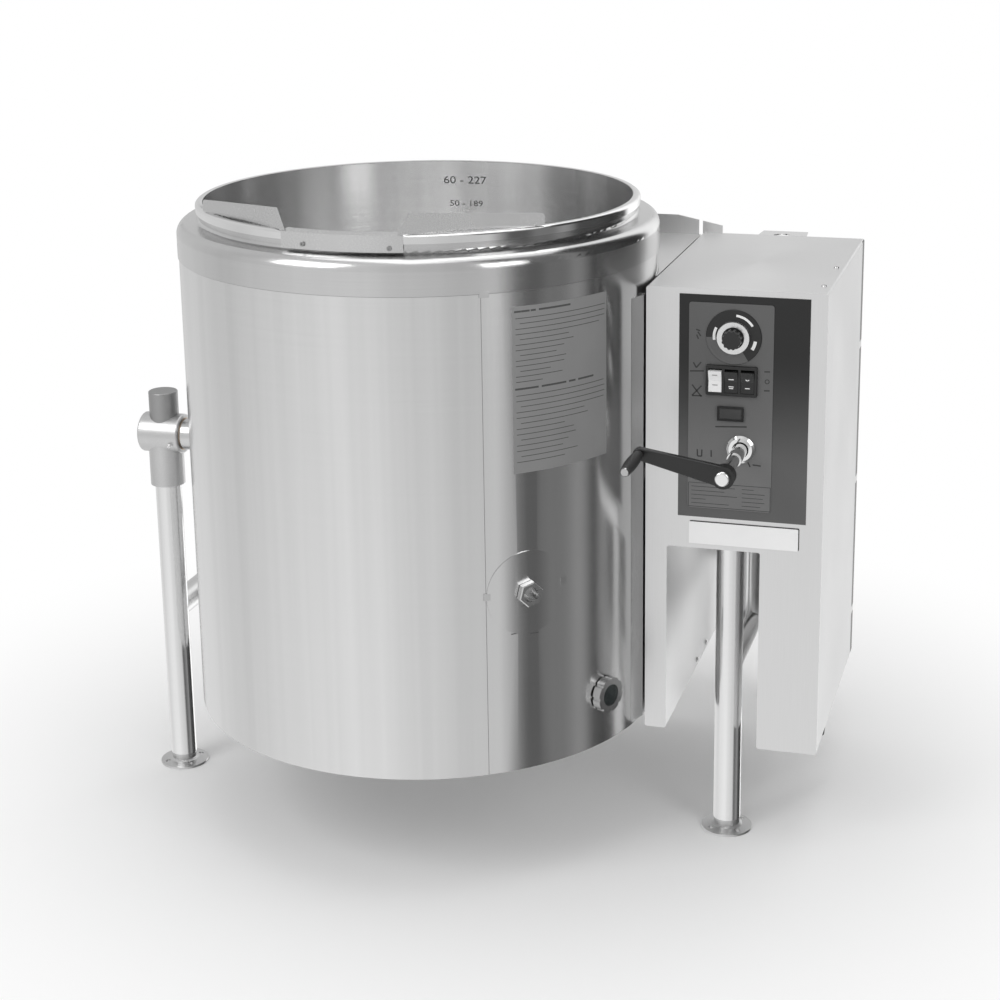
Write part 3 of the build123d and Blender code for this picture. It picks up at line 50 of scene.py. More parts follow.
def frontOf(node):
    return boxOf(node)[0].y


def middleOf(node):
    # the middle of a round piece on the panel, in metres
    low, high = boxOf(node)
    return (low.x + high.x) / 2 * mm, 0.0, (low.z + high.z) / 2 * mm


bowlLow, bowlHigh = boxOf("inner_bowl")
axisX = (bowlLow.x + bowlHigh.x) / 2        # the kettle's upright axis
axisY = (bowlLow.y + bowlHigh.y) / 2
drumLow, drumHigh = boxOf("drum_wrapper")
drumRadius = (drumHigh.x - drumLow.x) / 2
caseLow, caseHigh = boxOf("console_case")
panelY = caseLow.y                          # front face of the console
print("places read, kettle axis at", round(axisX, 1), round(axisY, 1))


# a socket that takes part in sums, and the one way that nodes are made

class Wire:
    def __init__(self, sheet, socket):
        self.sheet = sheet
        self.socket = socket

    def maths(self, operation, *values):
        return self.sheet.node("ShaderNodeMath", {"operation": operation}, dict(enumerate(values)))

    def __add__(self, other):
        return self.maths("ADD", self, other)

    def __sub__(self, other):
        return self.maths("SUBTRACT", self, other)

    def __mul__(self, other):
        return self.maths("MULTIPLY", self, other)

    def __truediv__(self, other):
        return self.maths("DIVIDE", self, other)

    def __radd__(self, other):
        return self.maths("ADD", other, self)

    def __rsub__(self, other):
        return self.maths("SUBTRACT", other, self)

    def __rmul__(self, other):
        return self.maths("MULTIPLY", other, self)

    def __gt__(self, other):
        return self.maths("GREATER_THAN", self, other)

    def __lt__(self, other):
        return self.maths("LESS_THAN", self, other)

    def __mod__(self, other):
        return self.maths("FLOORED_MODULO", self, other)

    def top(self, other):
        return self.maths("MAXIMUM", self, other)

    def least(self, other):
        return self.maths("MINIMUM", self, other)

    def angle(self, other):
        return self.maths("ARCTAN2", self, other)

    def ramp(self, low, high, start=0.0, end=1.0):
        settings = {"clamp": True, "interpolation_type": "SMOOTHSTEP"}
        values = {0: self, 1: low, 2: high, 3: start, 4: end}
        return self.sheet.node("ShaderNodeMapRange", settings, values)


class Sheet:
    def __init__(self, tree):
        self.tree = tree

    def node(self, kind, settings=None, values=None, out=0):
        made = self.tree.nodes.new(kind)
        for key, value in (settings or {}).items():
            if key == "stops":
                while len(made.color_ramp.elements) < len(value):
                    made.color_ramp.elements.new(0.5)
                for element, (place, colour) in zip(made.color_ramp.elements, value):
                    element.position = place
                    element.color = colour
            else:
                setattr(made, key, value)
        for key, value in (values or {}).items():
            if isinstance(value, Wire):
                self.tree.links.new(value.socket, made.inputs[key])
            else:
                made.inputs[key].default_value = value
        return Wire(self, made.outputs[out])

    def link(self, wire, shader, socket):
        self.tree.links.new(wire.socket, shader.inputs[socket])

    def coords(self, centre=(0, 0, 0), scale=(1, 1, 1)):
        place = self.node("ShaderNodeTexCoord", out="Object")
        moved = self.node("ShaderNodeVectorMath", {"operation": "SUBTRACT"}, {0: place, 1: centre})
        return self.node("ShaderNodeMapping", None, {"Vector": moved, "Scale": scale})

    def reach(self, vector):
        return self.node("ShaderNodeVectorMath", {"operation": "LENGTH"}, {0: vector}, out="Value")

    def axes(self, vector):
        split = self.tree.nodes.new("ShaderNodeSeparateXYZ")
        self.tree.links.new(vector.socket, split.inputs[0])
        return [Wire(self, split.outputs[i]) for i in range(3)]

    def noise(self, vector, detail=2.0):
        return self.node("ShaderNodeTexNoise", {"noise_dimensions": "3D"},
                         {"Vector": vector, "Scale": 1.0, "Detail": detail, "Roughness": 0.5})

    def speckle(self, density, detail=2.0):
        return self.noise(self.coords((0, 0, 0), (density,) * 3), detail)

    def blend(self, factor, one, two):
        return self.node("ShaderNodeMix", {"data_type": "RGBA", "blend_type": "MIX"},
                         {0: factor, 6: one, 7: two}, out=2)

    def bump(self, height, strength, distance, shader):
        raised = self.node("ShaderNodeBump", None,
                           {"Strength": strength, "Distance": distance, "Height": height})
        self.link(raised, shader, "Normal")


def grey(level, warm=0.0):
    return (level + warm, level, level - warm, 1.0)


def newFinish(name, colour, roughness, metallic=0.0, **fixed):
    material = bpy.data.materials.new(name)
    material.use_nodes = True
    shader = material.node_tree.nodes["Principled BSDF"]
    shader.inputs["Base Color"].default_value = colour
    shader.inputs["Roughness"].default_value = roughness
    shader.inputs["Metallic"].default_value = metallic
    for socket, value in fixed.items():
        shader.inputs[socket.replace("_", " ")].default_value = value
    return material, Sheet(material.node_tree), shader


steelShared = {"aniso": 0.0, "brushTurn": 0.25, "warm": 0.0, "toneSwing": 0.16, "roughStreak": 0.06,
               "roughGrain": 0.08, "roughCloud": 0.06, "cloudScale": (5, 5, 5), "bump": 0.0,
               "grainDeep": 0.0004}


def steelFinish(name, look):
    # long streaks left by polishing, fine grain across or along them, and faint handling marks
    s = {**steelShared, **look}
    material, sheet, shader = newFinish(name, grey(s["tone"]), s["roughness"], 1.0,
                                        Anisotropic=s["aniso"], Anisotropic_Rotation=s["brushTurn"])
    centre = (axisX * mm, axisY * mm, 0.0)
    streaks = sheet.noise(sheet.coords(centre, s["streakScale"]), 3.0) - 0.5
    grainHeight = sheet.noise(sheet.coords(centre, s["grainScale"]))
    grain = grainHeight - 0.5
    cloud = sheet.noise(sheet.coords(centre, s["cloudScale"])) - 0.5
    tone = s["tone"] + streaks * s["streakDepth"] + grain * s["grainDepth"]
    darkest, brightest = s["tone"] - s["toneSwing"], s["tone"] + s["toneSwing"]
    share = (tone - darkest) / (2 * s["toneSwing"])
    mixed = sheet.blend(share, grey(darkest, s["warm"]), grey(min(1.0, brightest), s["warm"]))
    sheet.link(mixed, shader, "Base Color")
    rough = s["roughness"] + streaks * s["roughStreak"] + grain * s["roughGrain"]
    sheet.link(rough + cloud * s["roughCloud"], shader, "Roughness")
    if s["bump"]:
        sheet.bump(grainHeight, s["bump"], s["grainDeep"], shader)
    return material


steelLooks = {
    "drum": {"tone": 0.70, "roughness": 0.2, "aniso": 0.85, "streakScale": (46, 46, 0.5),
             "streakDepth": 0.10, "grainScale": (3, 3, 900), "grainDepth": 0.05},
    # the band's tone sits below the drum's: painted shade, as the shoulder lies darker under the
    # pour lip's wings
    "band": {"tone": 0.62, "roughness": 0.2, "aniso": 0.75, "streakScale": (30, 30, 0.5),
             "streakDepth": 0.06, "grainScale": (3, 3, 1200), "grainDepth": 0.05},
    "rim": {"tone": 0.80, "roughness": 0.14, "aniso": 0.5, "streakScale": (24, 24, 1),
            "streakDepth": 0.05, "grainScale": (4, 4, 900), "grainDepth": 0.03},
    # the bowl's tone sits above the drum's: painted light, lifting its inside, which the lamps
    # reach less
    "bowl": {"tone": 0.84, "roughness": 0.24, "aniso": 0.85, "streakScale": (26, 26, 0.6),
             "streakDepth": 0.14, "grainScale": (3, 3, 800), "grainDepth": 0.06},
    "lip": {"tone": 0.62, "roughness": 0.26, "aniso": 0.3, "streakScale": (12, 12, 3),
            "streakDepth": 0.06, "grainScale": (700, 700, 700), "grainDepth": 0.02},
    "sheet": {"tone": 0.72, "roughness": 0.40, "aniso": 0.3, "streakScale": (8, 8, 2),
              "streakDepth": 0.04, "grainScale": (700, 700, 12), "grainDepth": 0.05, "bump": 0.08},
    "tube": {"tone": 0.8, "roughness": 0.2, "streakScale": (90, 90, 3), "streakDepth": 0.08,
             "grainScale": (20, 20, 700), "grainDepth": 0.06},
    "rail": {"tone": 0.66, "roughness": 0.22, "streakScale": (3, 3, 90), "streakDepth": 0.08,
             "grainScale": (500, 500, 20), "grainDepth": 0.05},
    "cast": {"tone": 0.60, "roughness": 0.36, "streakScale": (14, 14, 14), "streakDepth": 0.10,
             "grainScale": (420, 420, 420), "grainDepth": 0.10, "bump": 0.3},
    "darkSteel": {"tone": 0.36, "roughness": 0.42, "streakScale": (12, 12, 12), "streakDepth": 0.06,
                  "grainScale": (500, 500, 500), "grainDepth": 0.06, "bump": 0.15},
    "mill": {"tone": 0.52, "roughness": 0.38, "streakScale": (10, 10, 10), "streakDepth": 0.10,
             "grainScale": (300, 300, 300), "grainDepth": 0.08, "bump": 0.15},
    "bright": {"tone": 0.82, "roughness": 0.09, "streakScale": (20, 20, 20), "streakDepth": 0.03,
               "grainScale": (300, 300, 300), "grainDepth": 0.02},
    "fitting": {"tone": 0.62, "roughness": 0.24, "streakScale": (30, 30, 30), "streakDepth": 0.08,
                "grainScale": (900, 900, 900), "grainDepth": 0.05, "bump": 0.1},
    "ground": {"tone": 0.5, "roughness": 0.25, "streakScale": (40, 400, 40), "streakDepth": 0.08,
               "grainScale": (600, 600, 600), "grainDepth": 0.05},
    "bronze": {"tone": 0.5, "warm": 0.12, "roughness": 0.32, "streakScale": (30, 30, 30),
               "streakDepth": 0.08, "grainScale": (500, 500, 500), "grainDepth": 0.05},
}
steels = {look: steelFinish(look + "Steel", s) for look, s in steelLooks.items()}


def caseFinish():
    # folded sheet with a dark line down its rear right edge, painted shade of the gap where the
    # case meets its rear cover, broken by three clips
    s = {"gapShadeWide": 12.0, "gapShadeDeep": 1.6, "clipStep": 265.0, "clipTall": 14.0, "dark": 0.03,
         "dull": 0.9}
    rearEdge = boxOf("console_rear_cover")[0].y     # where the case meets its rear cover
    material = steelFinish("caseSteel", steelLooks["sheet"])
    sheet = Sheet(material.node_tree)
    shader = material.node_tree.nodes["Principled BSDF"]
    x, y, z = sheet.axes(sheet.coords())
    inGapShade = (y > (rearEdge - s["gapShadeWide"]) * mm) * (x > (caseHigh.x - s["gapShadeDeep"]) * mm)
    # painted shade of the gap, left out where the three clips stand
    line = inGapShade * ((z % (s["clipStep"] * mm)) > s["clipTall"] * mm)
    brushed = Wire(sheet, shader.inputs["Base Color"].links[0].from_socket)
    sheet.link(sheet.blend(line, brushed, grey(s["dark"])), shader, "Base Color")
    sheet.link(1.0 - line * s["dull"], shader, "Metallic")
    return material


def plasticFinish(name, tone, roughness, stipple=900.0, depth=0.25, dust=0.06, **fixed):
    # moulded or printed surface: fine stipple, and a little dust that lightens it in clouds
    s = {"cloudScale": 14, "dustFrom": 0.35, "dustTo": 0.8, "dustShare": 4.0, "lighten": 1.25,
         "lift": 0.012, "roughCloud": 0.12, "roughFine": 0.08, "stippleDeep": 0.0002}
    material, sheet, shader = newFinish(name, grey(tone), roughness, 0.0, **fixed)
    fine = sheet.speckle(stipple)
    cloud = sheet.speckle(s["cloudScale"], 3.0)
    dusty = grey(min(1.0, tone * s["lighten"] + s["lift"]))
    amount = cloud.ramp(s["dustFrom"], s["dustTo"]) * dust * s["dustShare"]
    sheet.link(sheet.blend(amount, grey(tone), dusty), shader, "Base Color")
    rough = roughness + (cloud - 0.5) * s["roughCloud"] + (fine - 0.5) * s["roughFine"]
    sheet.link(rough, shader, "Roughness")
    sheet.bump(fine, depth, s["stippleDeep"], shader)
    return material


foilMetal = plasticFinish("foilMetal", 0.30, 0.36, 600.0, 0.1, 0.05, Metallic=0.35)
blackPlastic = plasticFinish("blackPlastic", 0.010, 0.3)
whitePlastic = plasticFinish("whitePlastic", 0.86, 0.3, dust=0.02)
softBlack = plasticFinish("softBlack", 0.03, 0.5)
lampPlastic = plasticFinish("lampPlastic", 0.06, 0.2, 400.0, 0.1)
whiteInk = plasticFinish("whiteInk", 0.82, 0.5, 1200.0, 0.1, 0.02)
darkInk = plasticFinish("darkInk", 0.03, 0.5, 1200.0, 0.1, 0.02)
lineGrey = plasticFinish("lineGrey", 0.3, 0.5, 1200.0, 0.1, 0.02)
etchedInk = plasticFinish("etchedInk", 0.05, 0.6, 900.0, 0.1, 0.02)
foilInk = plasticFinish("foilInk", 0.07, 0.55, 900.0, 0.1, 0.02)
badgeWhite = plasticFinish("badgeWhite", 0.88, 0.32, 800.0, 0.1, 0.02)


def woolFinish():
    s = {"mean": (0.52, 0.45, 0.28, 1.0), "dark": (0.40, 0.33, 0.18, 1),
         "pale": (0.66, 0.58, 0.38, 1), "fibreScale": (160, 160, 40), "roughness": 0.95,
         "bump": 0.6, "fibreDeep": 0.002}
    material, sheet, shader = newFinish("mineralWool", s["mean"], s["roughness"])
    fibres = sheet.noise(sheet.coords((0, 0, 0), s["fibreScale"]), 6.0)
    sheet.link(sheet.blend(fibres, s["dark"], s["pale"]), shader, "Base Color")
    sheet.bump(fibres, s["bump"], s["fibreDeep"], shader)
    return material


def glassFinish():
    # the glass is near black and mostly opaque: painted shade standing in for the dark inside seen
    # through the sight glass
    s = {"shadeTint": (0.03, 0.036, 0.036, 1.0), "roughness": 0.06, "cleanRough": 0.05,
         "filmRough": 0.08, "alpha": 0.72, "filmAlpha": 0.15, "filmScale": 60}
    material, sheet, shader = newFinish("gaugeGlass", s["shadeTint"], s["roughness"], 0.0, IOR=1.47)
    film = sheet.speckle(s["filmScale"], 3.0)
    sheet.link(s["cleanRough"] + film * s["filmRough"], shader, "Roughness")
    sheet.link(s["alpha"] + film * s["filmAlpha"], shader, "Alpha")
    return material


def filmGrain(sheet, shader):
    s = {"scale": 1500, "smooth": 0.36, "rougher": 0.1}
    sheet.link(s["smooth"] + sheet.speckle(s["scale"]) * s["rougher"], shader, "Roughness")


def filmFinish(name, top, foot):
    # a film with painted shade: darkest at the top, lighter towards the foot
    s = {"roughness": 0.4, "footUp": 60, "topDown": 90}
    low, high = boxOf("control_panel")
    material, sheet, shader = newFinish(name, grey(top), s["roughness"])
    height = sheet.axes(sheet.coords())[2]
    paintedShadeRise = height.ramp((low.z + s["footUp"]) * mm, (high.z - s["topDown"]) * mm)
    # painted shade: the colour runs from the lighter foot grey up to the darkest grey at the top
    sheet.link(sheet.blend(paintedShadeRise, grey(foot), grey(top)), shader, "Base Color")
    filmGrain(sheet, shader)
    return material


def dialFinish():
    # the dark scale runs from the left, over the top, to the lower right; the rest is plain grey
    s = {"mean": 0.02, "roughness": 0.42, "dark": 0.010, "plate": 0.105, "openFrom": -178,
         "openTo": -58}
    material, sheet, shader = newFinish("dialFilm", grey(s["mean"]), s["roughness"])
    place = sheet.axes(sheet.coords(middleOf("dial_plate")))
    angle = place[2].angle(place[0])
    plain = (angle < radians(s["openTo"])) * (angle > radians(s["openFrom"]))
    sheet.link(sheet.blend(plain, grey(s["dark"]), grey(s["plate"])), shader, "Base Color")
    filmGrain(sheet, shader)
    return material


def knobFinish():
    # a spun metal skirt round a black grip
    s = {"mean": 0.7, "roughness": 0.2, "gripReach": 0.0188, "footReach": 0.0172, "skirtDeep": 6.6,
         "black": 0.012, "dull": 0.62, "shine": 0.86, "turnScale": 900, "gripRough": 0.3,
         "metalSmoother": 0.1, "turnRough": 0.06}
    middle = middleOf("thermostat_knob")
    material, sheet, shader = newFinish("knobMetal", grey(s["mean"]), s["roughness"], 1.0)
    depth = sheet.axes(sheet.coords())[1]
    reach = sheet.reach(sheet.coords(middle, (1, 0, 1)))
    skirt = depth > (boxOf("thermostat_knob")[1].y - s["skirtDeep"]) * mm
    metal = (reach > s["gripReach"]) + skirt * (reach > s["footReach"])
    turned = sheet.noise(sheet.coords(middle, (s["turnScale"],) * 3))
    spun = sheet.blend(turned, grey(s["dull"]), grey(s["shine"]))
    sheet.link(sheet.blend(metal.least(1.0), grey(s["black"]), spun), shader, "Base Color")
    sheet.link(metal.least(1.0), shader, "Metallic")
    rough = s["gripRough"] - metal * s["metalSmoother"] + turned * s["turnRough"]
    sheet.link(rough, shader, "Roughness")
    return material


nodesOf = {
    "tube": "front_left_leg front_right_leg rear_left_leg rear_right_leg console_post",
    "rail": "left_side_tube right_side_tube rear_rail",
    "cast": "front_left_foot front_right_foot rear_left_foot rear_right_foot left_trunnion_housing "
            "right_bearing_block",
    "fitting": "left_trunnion right_trunnion relief_lever jacket_port sight_glass_body "
               "pressure_gauge",
    "mill": "worm_bracket jacket_shell bottom_cover",
    "darkSteel": "left_post_cap heating_elements",
    "bronze": "left_bush right_bush worm_wheel relief_valve",
    "ground": "worm grip_pin",
    "bowl": "inner_bowl",
    "rim": "rim_ring",
    "drum": "drum_wrapper port_cover_plate",
    "band": "shoulder_band",
    "lip": "pour_lip drum_edge_strip",
    "sheet": "side_shroud",
    "bright": "faucet_bracket crank_shaft crank_escutcheon crank_cap",
}
finishOf = {node: steels[look] for look, names in nodesOf.items() for node in names.split()}
finishOf.update({
    "control_panel": filmFinish("panelFilm", 0.006, 0.095),
    "control_faceplate": filmFinish("faceFilm", 0.1, 0.15), "dial_plate": dialFinish(),
    "thermostat_knob": knobFinish(), "insulation": woolFinish(), "sight_glass_lens": glassFinish(),
    "indicator_lamp": lampPlastic, "power_rocker": whitePlastic, "crank_arm": blackPlastic,
    "switch_frame": blackPlastic, "heat_rocker": blackPlastic, "fill_rocker": blackPlastic,
    "thermostat_body": blackPlastic, "crank_grip": softBlack, "cable_gland": softBlack,
})
finishOf["console_case"] = finishOf["console_rear_cover"] = caseFinish()
for name, solid in nodes.items():
    for materialSlot in solid.material_slots:
        materialSlot.material = finishOf[name]
print("finishes on", len(nodes), "solids")


# small pieces that the solids leave out, sized in mm

def finished(name, bm, look, body, smooth=True):
    bmesh.ops.recalc_face_normals(bm, faces=bm.faces)
    mesh = bpy.data.meshes.new(name)
    bm.to_mesh(mesh)
    bm.free()
    for face in mesh.polygons:
        face.use_smooth = smooth
    if smooth:
        mesh.set_sharp_from_angle(angle=radians(32))
    mesh.materials.append(look)
    piece = bpy.data.objects.new(name, mesh)
    scene.collection.objects.link(piece)
    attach(piece, body)


def slab(bm, left, right, low, high, front, back, corner=0.0, turn=0.0):
    # a flat plate in the panel's plane, its corners rounded, turned about its middle
    middle = Vector(((left + right) / 2, (front + back) / 2, (low + high) / 2)) * mm
    corners = [bm.verts.new(Vector(place) * mm) for place in
               ((left, back, low), (right, back, low), (right, back, high), (left, back, high))]
    made = bmesh.ops.extrude_face_region(bm, geom=[bm.faces.new(corners)])
    lifted = [item for item in made["geom"] if isinstance(item, bmesh.types.BMVert)]
    bmesh.ops.translate(bm, verts=lifted, vec=(0, (front - back) * mm, 0))
    turning = Matrix.Rotation(turn, 3, "Y")
    bmesh.ops.rotate(bm, verts=corners + lifted, cent=middle, matrix=turning)
    if corner:
        across = [edge for vert in corners for edge in vert.link_edges
                  if edge.other_vert(vert) in lifted]
        bmesh.ops.bevel(bm, geom=across, offset=corner * mm, segments=5, profile=0.5,
                        affect="EDGES", material=-1)


def stroke(bm, ends, width, front, back):
    startX, startZ, endX, endZ = ends
    length = hypot(endX - startX, endZ - startZ)
    midX, midZ = (startX + endX) / 2, (startZ + endZ) / 2
    slab(bm, midX - length / 2, midX + length / 2, midZ - width / 2, midZ + width / 2, front, back,
         turn=-atan2(endZ - startZ, endX - startX))


def hoop(bm, centreX, centreZ, inner, outer, start, sweep, front, back):
    # part of a flat ring in the panel's plane, angles from +X towards +Z
    turn = Matrix.Rotation(-start, 3, "Y")
    centre = Vector((centreX, 0, centreZ)) * mm
    profile = [bm.verts.new(centre + turn @ Vector((radius, depth, 0)) * mm)
               for radius, depth in ((inner, back), (outer, back), (outer, front), (inner, front))]
    face = bm.faces.new(profile)
    whole = sweep >= 2 * pi
    bmesh.ops.spin(bm, geom=[face] + list(face.edges) + profile, cent=centre, axis=(0, -1, 0),
                   angle=sweep, steps=24, use_merge=whole)
    if whole:
        bmesh.ops.delete(bm, geom=[face], context="FACES_ONLY")


def bent(bm, radius, proud, start, end, low, high, steps):
    # a patch that lies round the kettle's upright axis, angles in degrees from +X
    centre = Vector((axisX, axisY, 0)) * mm
    turn = Matrix.Rotation(radians(start), 3, "Z")
    outer = radius + proud
    profile = [bm.verts.new(centre + turn @ Vector((reach, 0, height)) * mm)
               for reach, height in ((radius, low), (outer, low), (outer, high), (radius, high))]
    face = bm.faces.new(profile)
    bmesh.ops.spin(bm, geom=[face] + list(face.edges) + profile, cent=centre, axis=(0, 0, 1),
                   angle=radians(end - start), steps=steps)


def head(bm, place, outward, radius, height, sides, socket=0.5):
    # a fastener's head on a face, with a recess in its top
    s = {"taper": 0.86, "wall": 0.02, "deep": 0.5}
    aim = Vector(outward).normalized()
    seat = Matrix.Translation(Vector(place) * mm + aim * height / 2 * mm)
    made = bmesh.ops.create_cone(bm, cap_ends=True, segments=sides, radius1=radius * mm,
                                 radius2=radius * s["taper"] * mm, depth=height * mm,
                                 matrix=seat @ aim.to_track_quat("Z", "Y").to_matrix().to_4x4())
    ends = [face for vert in made["verts"] for face in vert.link_faces if len(face.verts) == sides]
    top = max(ends, key=lambda face: face.calc_center_median().dot(aim))
    bmesh.ops.inset_region(bm, faces=[top], thickness=radius * (1 - socket) * mm)
    bmesh.ops.inset_region(bm, faces=[top], thickness=s["wall"] * mm,
                           depth=-height * s["deep"] * mm)


def surfaceAt(node, start, toward):
    # where a straight line first meets a solid
    hit, place, normal = nodes[node].ray_cast(Vector(start) * mm, Vector(toward).normalized())[:3]
    if not hit:
        raise ValueError("nothing of " + node + " lies that way")
    return place / mm, normal


printed = {"proud": 0.12, "sunk": 0.05}     # how far ink stands out of a film, and into it


def controlMarks():
    s = {"line": 2.4, "stateX": 630.0, "stateZ": 846.6, "stateInner": 2.6, "stateOuter": 4.2,
         "strokes": (
             (499, 857.6, 523, 859.0), (543.5, 763, 597, 766), (560, 889, 581, 889.8),
             (566, 893.5, 575, 893.9), (625, 863.6, 634.5, 864), (625, 830.9, 634.5, 831.3),
             (505, 873, 510, 864), (510, 864, 518, 874), (503, 834, 519, 814),
             (519, 833, 503, 815), (503, 815, 520, 815.4), (509, 930, 516, 928),
             (512, 926, 517, 919), (510, 921, 513, 914), (513, 721, 513.6, 709),
             (521, 721, 520.6, 709), (513.6, 709, 520.6, 709), (537, 721, 537.2, 709),
             (600, 704, 604, 696), (608, 700, 622, 699))}
    face = frontOf("control_faceplate")
    front, back = face - printed["proud"], face + printed["sunk"]
    bm = bmesh.new()
    for startX, startZ, endX, endZ in s["strokes"]:
        stroke(bm, (axisX + startX, startZ, axisX + endX, endZ), s["line"], front, back)
    hoop(bm, axisX + s["stateX"], s["stateZ"], s["stateInner"], s["stateOuter"], 0.0, 2 * pi,
         front, back)
    finished("panel_marks", bm, darkInk, "stand")


def dialBars():
    s = {"dialX": 573.0, "dialZ": 920.0,
         "bars": ((31, 35.5, 152, 190), (35.5, 39.5, 33, 84), (34, 39.5, -32, -8))}
    face = frontOf("dial_plate")
    bm = bmesh.new()
    for inner, outer, start, end in s["bars"]:
        hoop(bm, axisX + s["dialX"], s["dialZ"], inner, outer, radians(start), radians(end - start),
             face - printed["proud"], face + printed["sunk"])
    finished("dial_bars", bm, whiteInk, "stand")


def dataPlate():
    s = {"left": 498.5, "right": 639.0, "low": 619.0, "high": 661.5, "line": 0.9, "firstRow": 6.5,
         "rowStep": 7.4, "starts": (5, 92),
         "ends": ((80, 112), (62, 131), (84, 128), (30, 131), (70, 124))}
    face = frontOf("control_faceplate")
    front, back = face - printed["proud"], face + printed["sunk"]
    left, right, low, high = axisX + s["left"], axisX + s["right"], s["low"], s["high"]
    lines = [(left, low, right, low), (left, high, right, high), (left, low, left, high),
             (right, low, right, high)]
    for row, ends in enumerate(s["ends"]):
        height = high - s["firstRow"] - row * s["rowStep"]
        lines += [(left + start, height, left + end, height)
                  for start, end in zip(s["starts"], ends)]
    bm = bmesh.new()
    for line in lines:
        stroke(bm, line, s["line"], front, back)
    finished("data_plate_rules", bm, darkInk, "stand")


def badgePlate():
    # a bare white plate on a dark backing that shows along its top and right
    s = {"left": 500.0, "right": 688.0, "low": 552.0, "high": 591.0, "thick": 2.2, "edge": 1.4,
         "backing": 1.2, "gap": 0.05, "inset": 1.0, "lift": 0.5, "backCorner": 2.0, "corner": 1.5}
    left, right, low, high = axisX + s["left"], axisX + s["right"], s["low"], s["high"]
    bm = bmesh.new()
    slab(bm, left + s["inset"], right + s["edge"], low + s["lift"], high + s["edge"],
         panelY - s["backing"], panelY + s["gap"], s["backCorner"])
    finished("badge_backing", bm, softBlack, "stand")
    bm = bmesh.new()
    slab(bm, left, right, low, high, panelY - s["thick"], panelY - s["backing"] - s["gap"],
         s["corner"])
    finished("badge_plate", bm, badgeWhite, "stand")


def switchMarks():
    # short lines on each rocker, as shares of its width and height
    s = {"line": 1.5, "proud": 0.35, "sunk": 0.3, "lookFrom": 30, "rockers": (
        ("power_rocker", "power_switch", lineGrey,
         ((0.3, 0.80, 0.7, 0.80), (0.3, 0.32, 0.7, 0.32))),
        ("heat_rocker", "heat_switch", whiteInk,
         ((0.3, 0.28, 0.7, 0.28), (0.34, 0.2, 0.66, 0.2), (0.3, 0.62, 0.7, 0.62))),
        ("fill_rocker", "fill_switch", whiteInk,
         ((0.32, 0.24, 0.68, 0.24), (0.35, 0.66, 0.5, 0.6), (0.5, 0.6, 0.65, 0.66))))}
    for node, body, ink, marks in s["rockers"]:
        low, high = boxOf(node)
        wide, tall = high.x - low.x, high.z - low.z
        bm = bmesh.new()
        for startU, startV, endU, endV in marks:
            ends = (low.x + startU * wide, low.z + startV * tall,
                    low.x + endU * wide, low.z + endV * tall)
            middle = ((ends[0] + ends[2]) / 2, low.y - s["lookFrom"], (ends[1] + ends[3]) / 2)
            face = surfaceAt(node, middle, (0, 1, 0))[0].y
            stroke(bm, ends, s["line"], face - s["proud"], face + s["sunk"])
        finished(node + "_marks", bm, ink, body)


def lampFrame():
    s = {"border": 3.6, "proud": 0.9, "sunk": 0.4}
    low, high = boxOf("indicator_lamp")
    border = s["border"]
    bars = ((low.x, high.x, low.z, low.z + border), (low.x, high.x, high.z - border, high.z),
            (low.x, low.x + border, low.z + border, high.z - border),
            (high.x - border, high.x, low.z + border, high.z - border))
    bm = bmesh.new()
    for left, right, bottom, top in bars:
        slab(bm, left, right, bottom, top, low.y - s["proud"], low.y + s["sunk"])
    finished("lamp_frame", bm, blackPlastic, "stand")


def drumPatches(name, look, sunk, thick, patches, steps):
    # patches bent round the drum, each from its start to its end angle and low to high
    bm = bmesh.new()
    for start, end, low, high in patches:
        bent(bm, drumRadius - sunk, thick, start, end, low, high, steps)
    finished(name, bm, look, "kettle")


def foilPlate():
    # a foil plate on the drum, with plain rules in place of its words
    s = {"start": -51.0, "end": -24.9, "low": 736.0, "high": 1012.0, "proud": 0.5, "sunk": 0.2,
         "steps": 24, "inkThick": 0.2, "inkSunk": 0.1, "inkSteps": 14, "heading": 3.2, "rule": 1.1,
         "margin": 0.03, "indent": 0.04}
    # shares of the plate: how far down, and from where to where across
    headings = ((0.03, 0.02, 0.22), (0.03, 0.25, 0.57), (0.49, 0.02, 0.24), (0.49, 0.27, 0.52),
                (0.49, 0.55, 0.62), (0.49, 0.65, 0.83))
    # each block of rules: first one, step, which of every three is indented, and their ends
    blocks = (
        (0.07, 0.0315, 1,
         (0.98, 0.97, 0.97, 0.9, 0.55, 0.6, 0.5, 0.42, 0.52, 0.5, 0.36, 0.48, 0.28)),
        (0.53, 0.0335, 2,
         (0.96, 0.97, 0.97, 0.96, 0.72, 0.76, 0.5, 0.6, 0.62, 0.54, 0.48, 0.64, 0.5)))
    drumPatches("foil_plate", foilMetal, s["sunk"], s["proud"] + s["sunk"],
                [(s["start"], s["end"], s["low"], s["high"])], s["steps"])
    rows = [(down, start, end, s["heading"]) for down, start, end in headings]
    for first, step, indented, ends in blocks:
        for row, end in enumerate(ends):
            start = s["margin"] + s["indent"] * (row % 3 == indented)
            rows.append((first + row * step, start, end, s["rule"]))
    span, tall = s["end"] - s["start"], s["high"] - s["low"]
    bm = bmesh.new()
    for down, start, end, thick in rows:
        height = s["high"] - down * tall
        bent(bm, drumRadius + s["proud"] - s["inkSunk"], s["inkThick"], s["start"] + start * span,
             s["start"] + end * span, height - thick / 2, height + thick / 2,
             max(2, int(s["inkSteps"] * (end - start))))
    finished("foil_rules", bm, foilInk, "kettle")


def about(places, wide, tall):
    # patches of one size, each about its own angle and height
    return [(angle - wide / 2, angle + wide / 2, height - tall / 2, height + tall / 2)
            for angle, height in places]


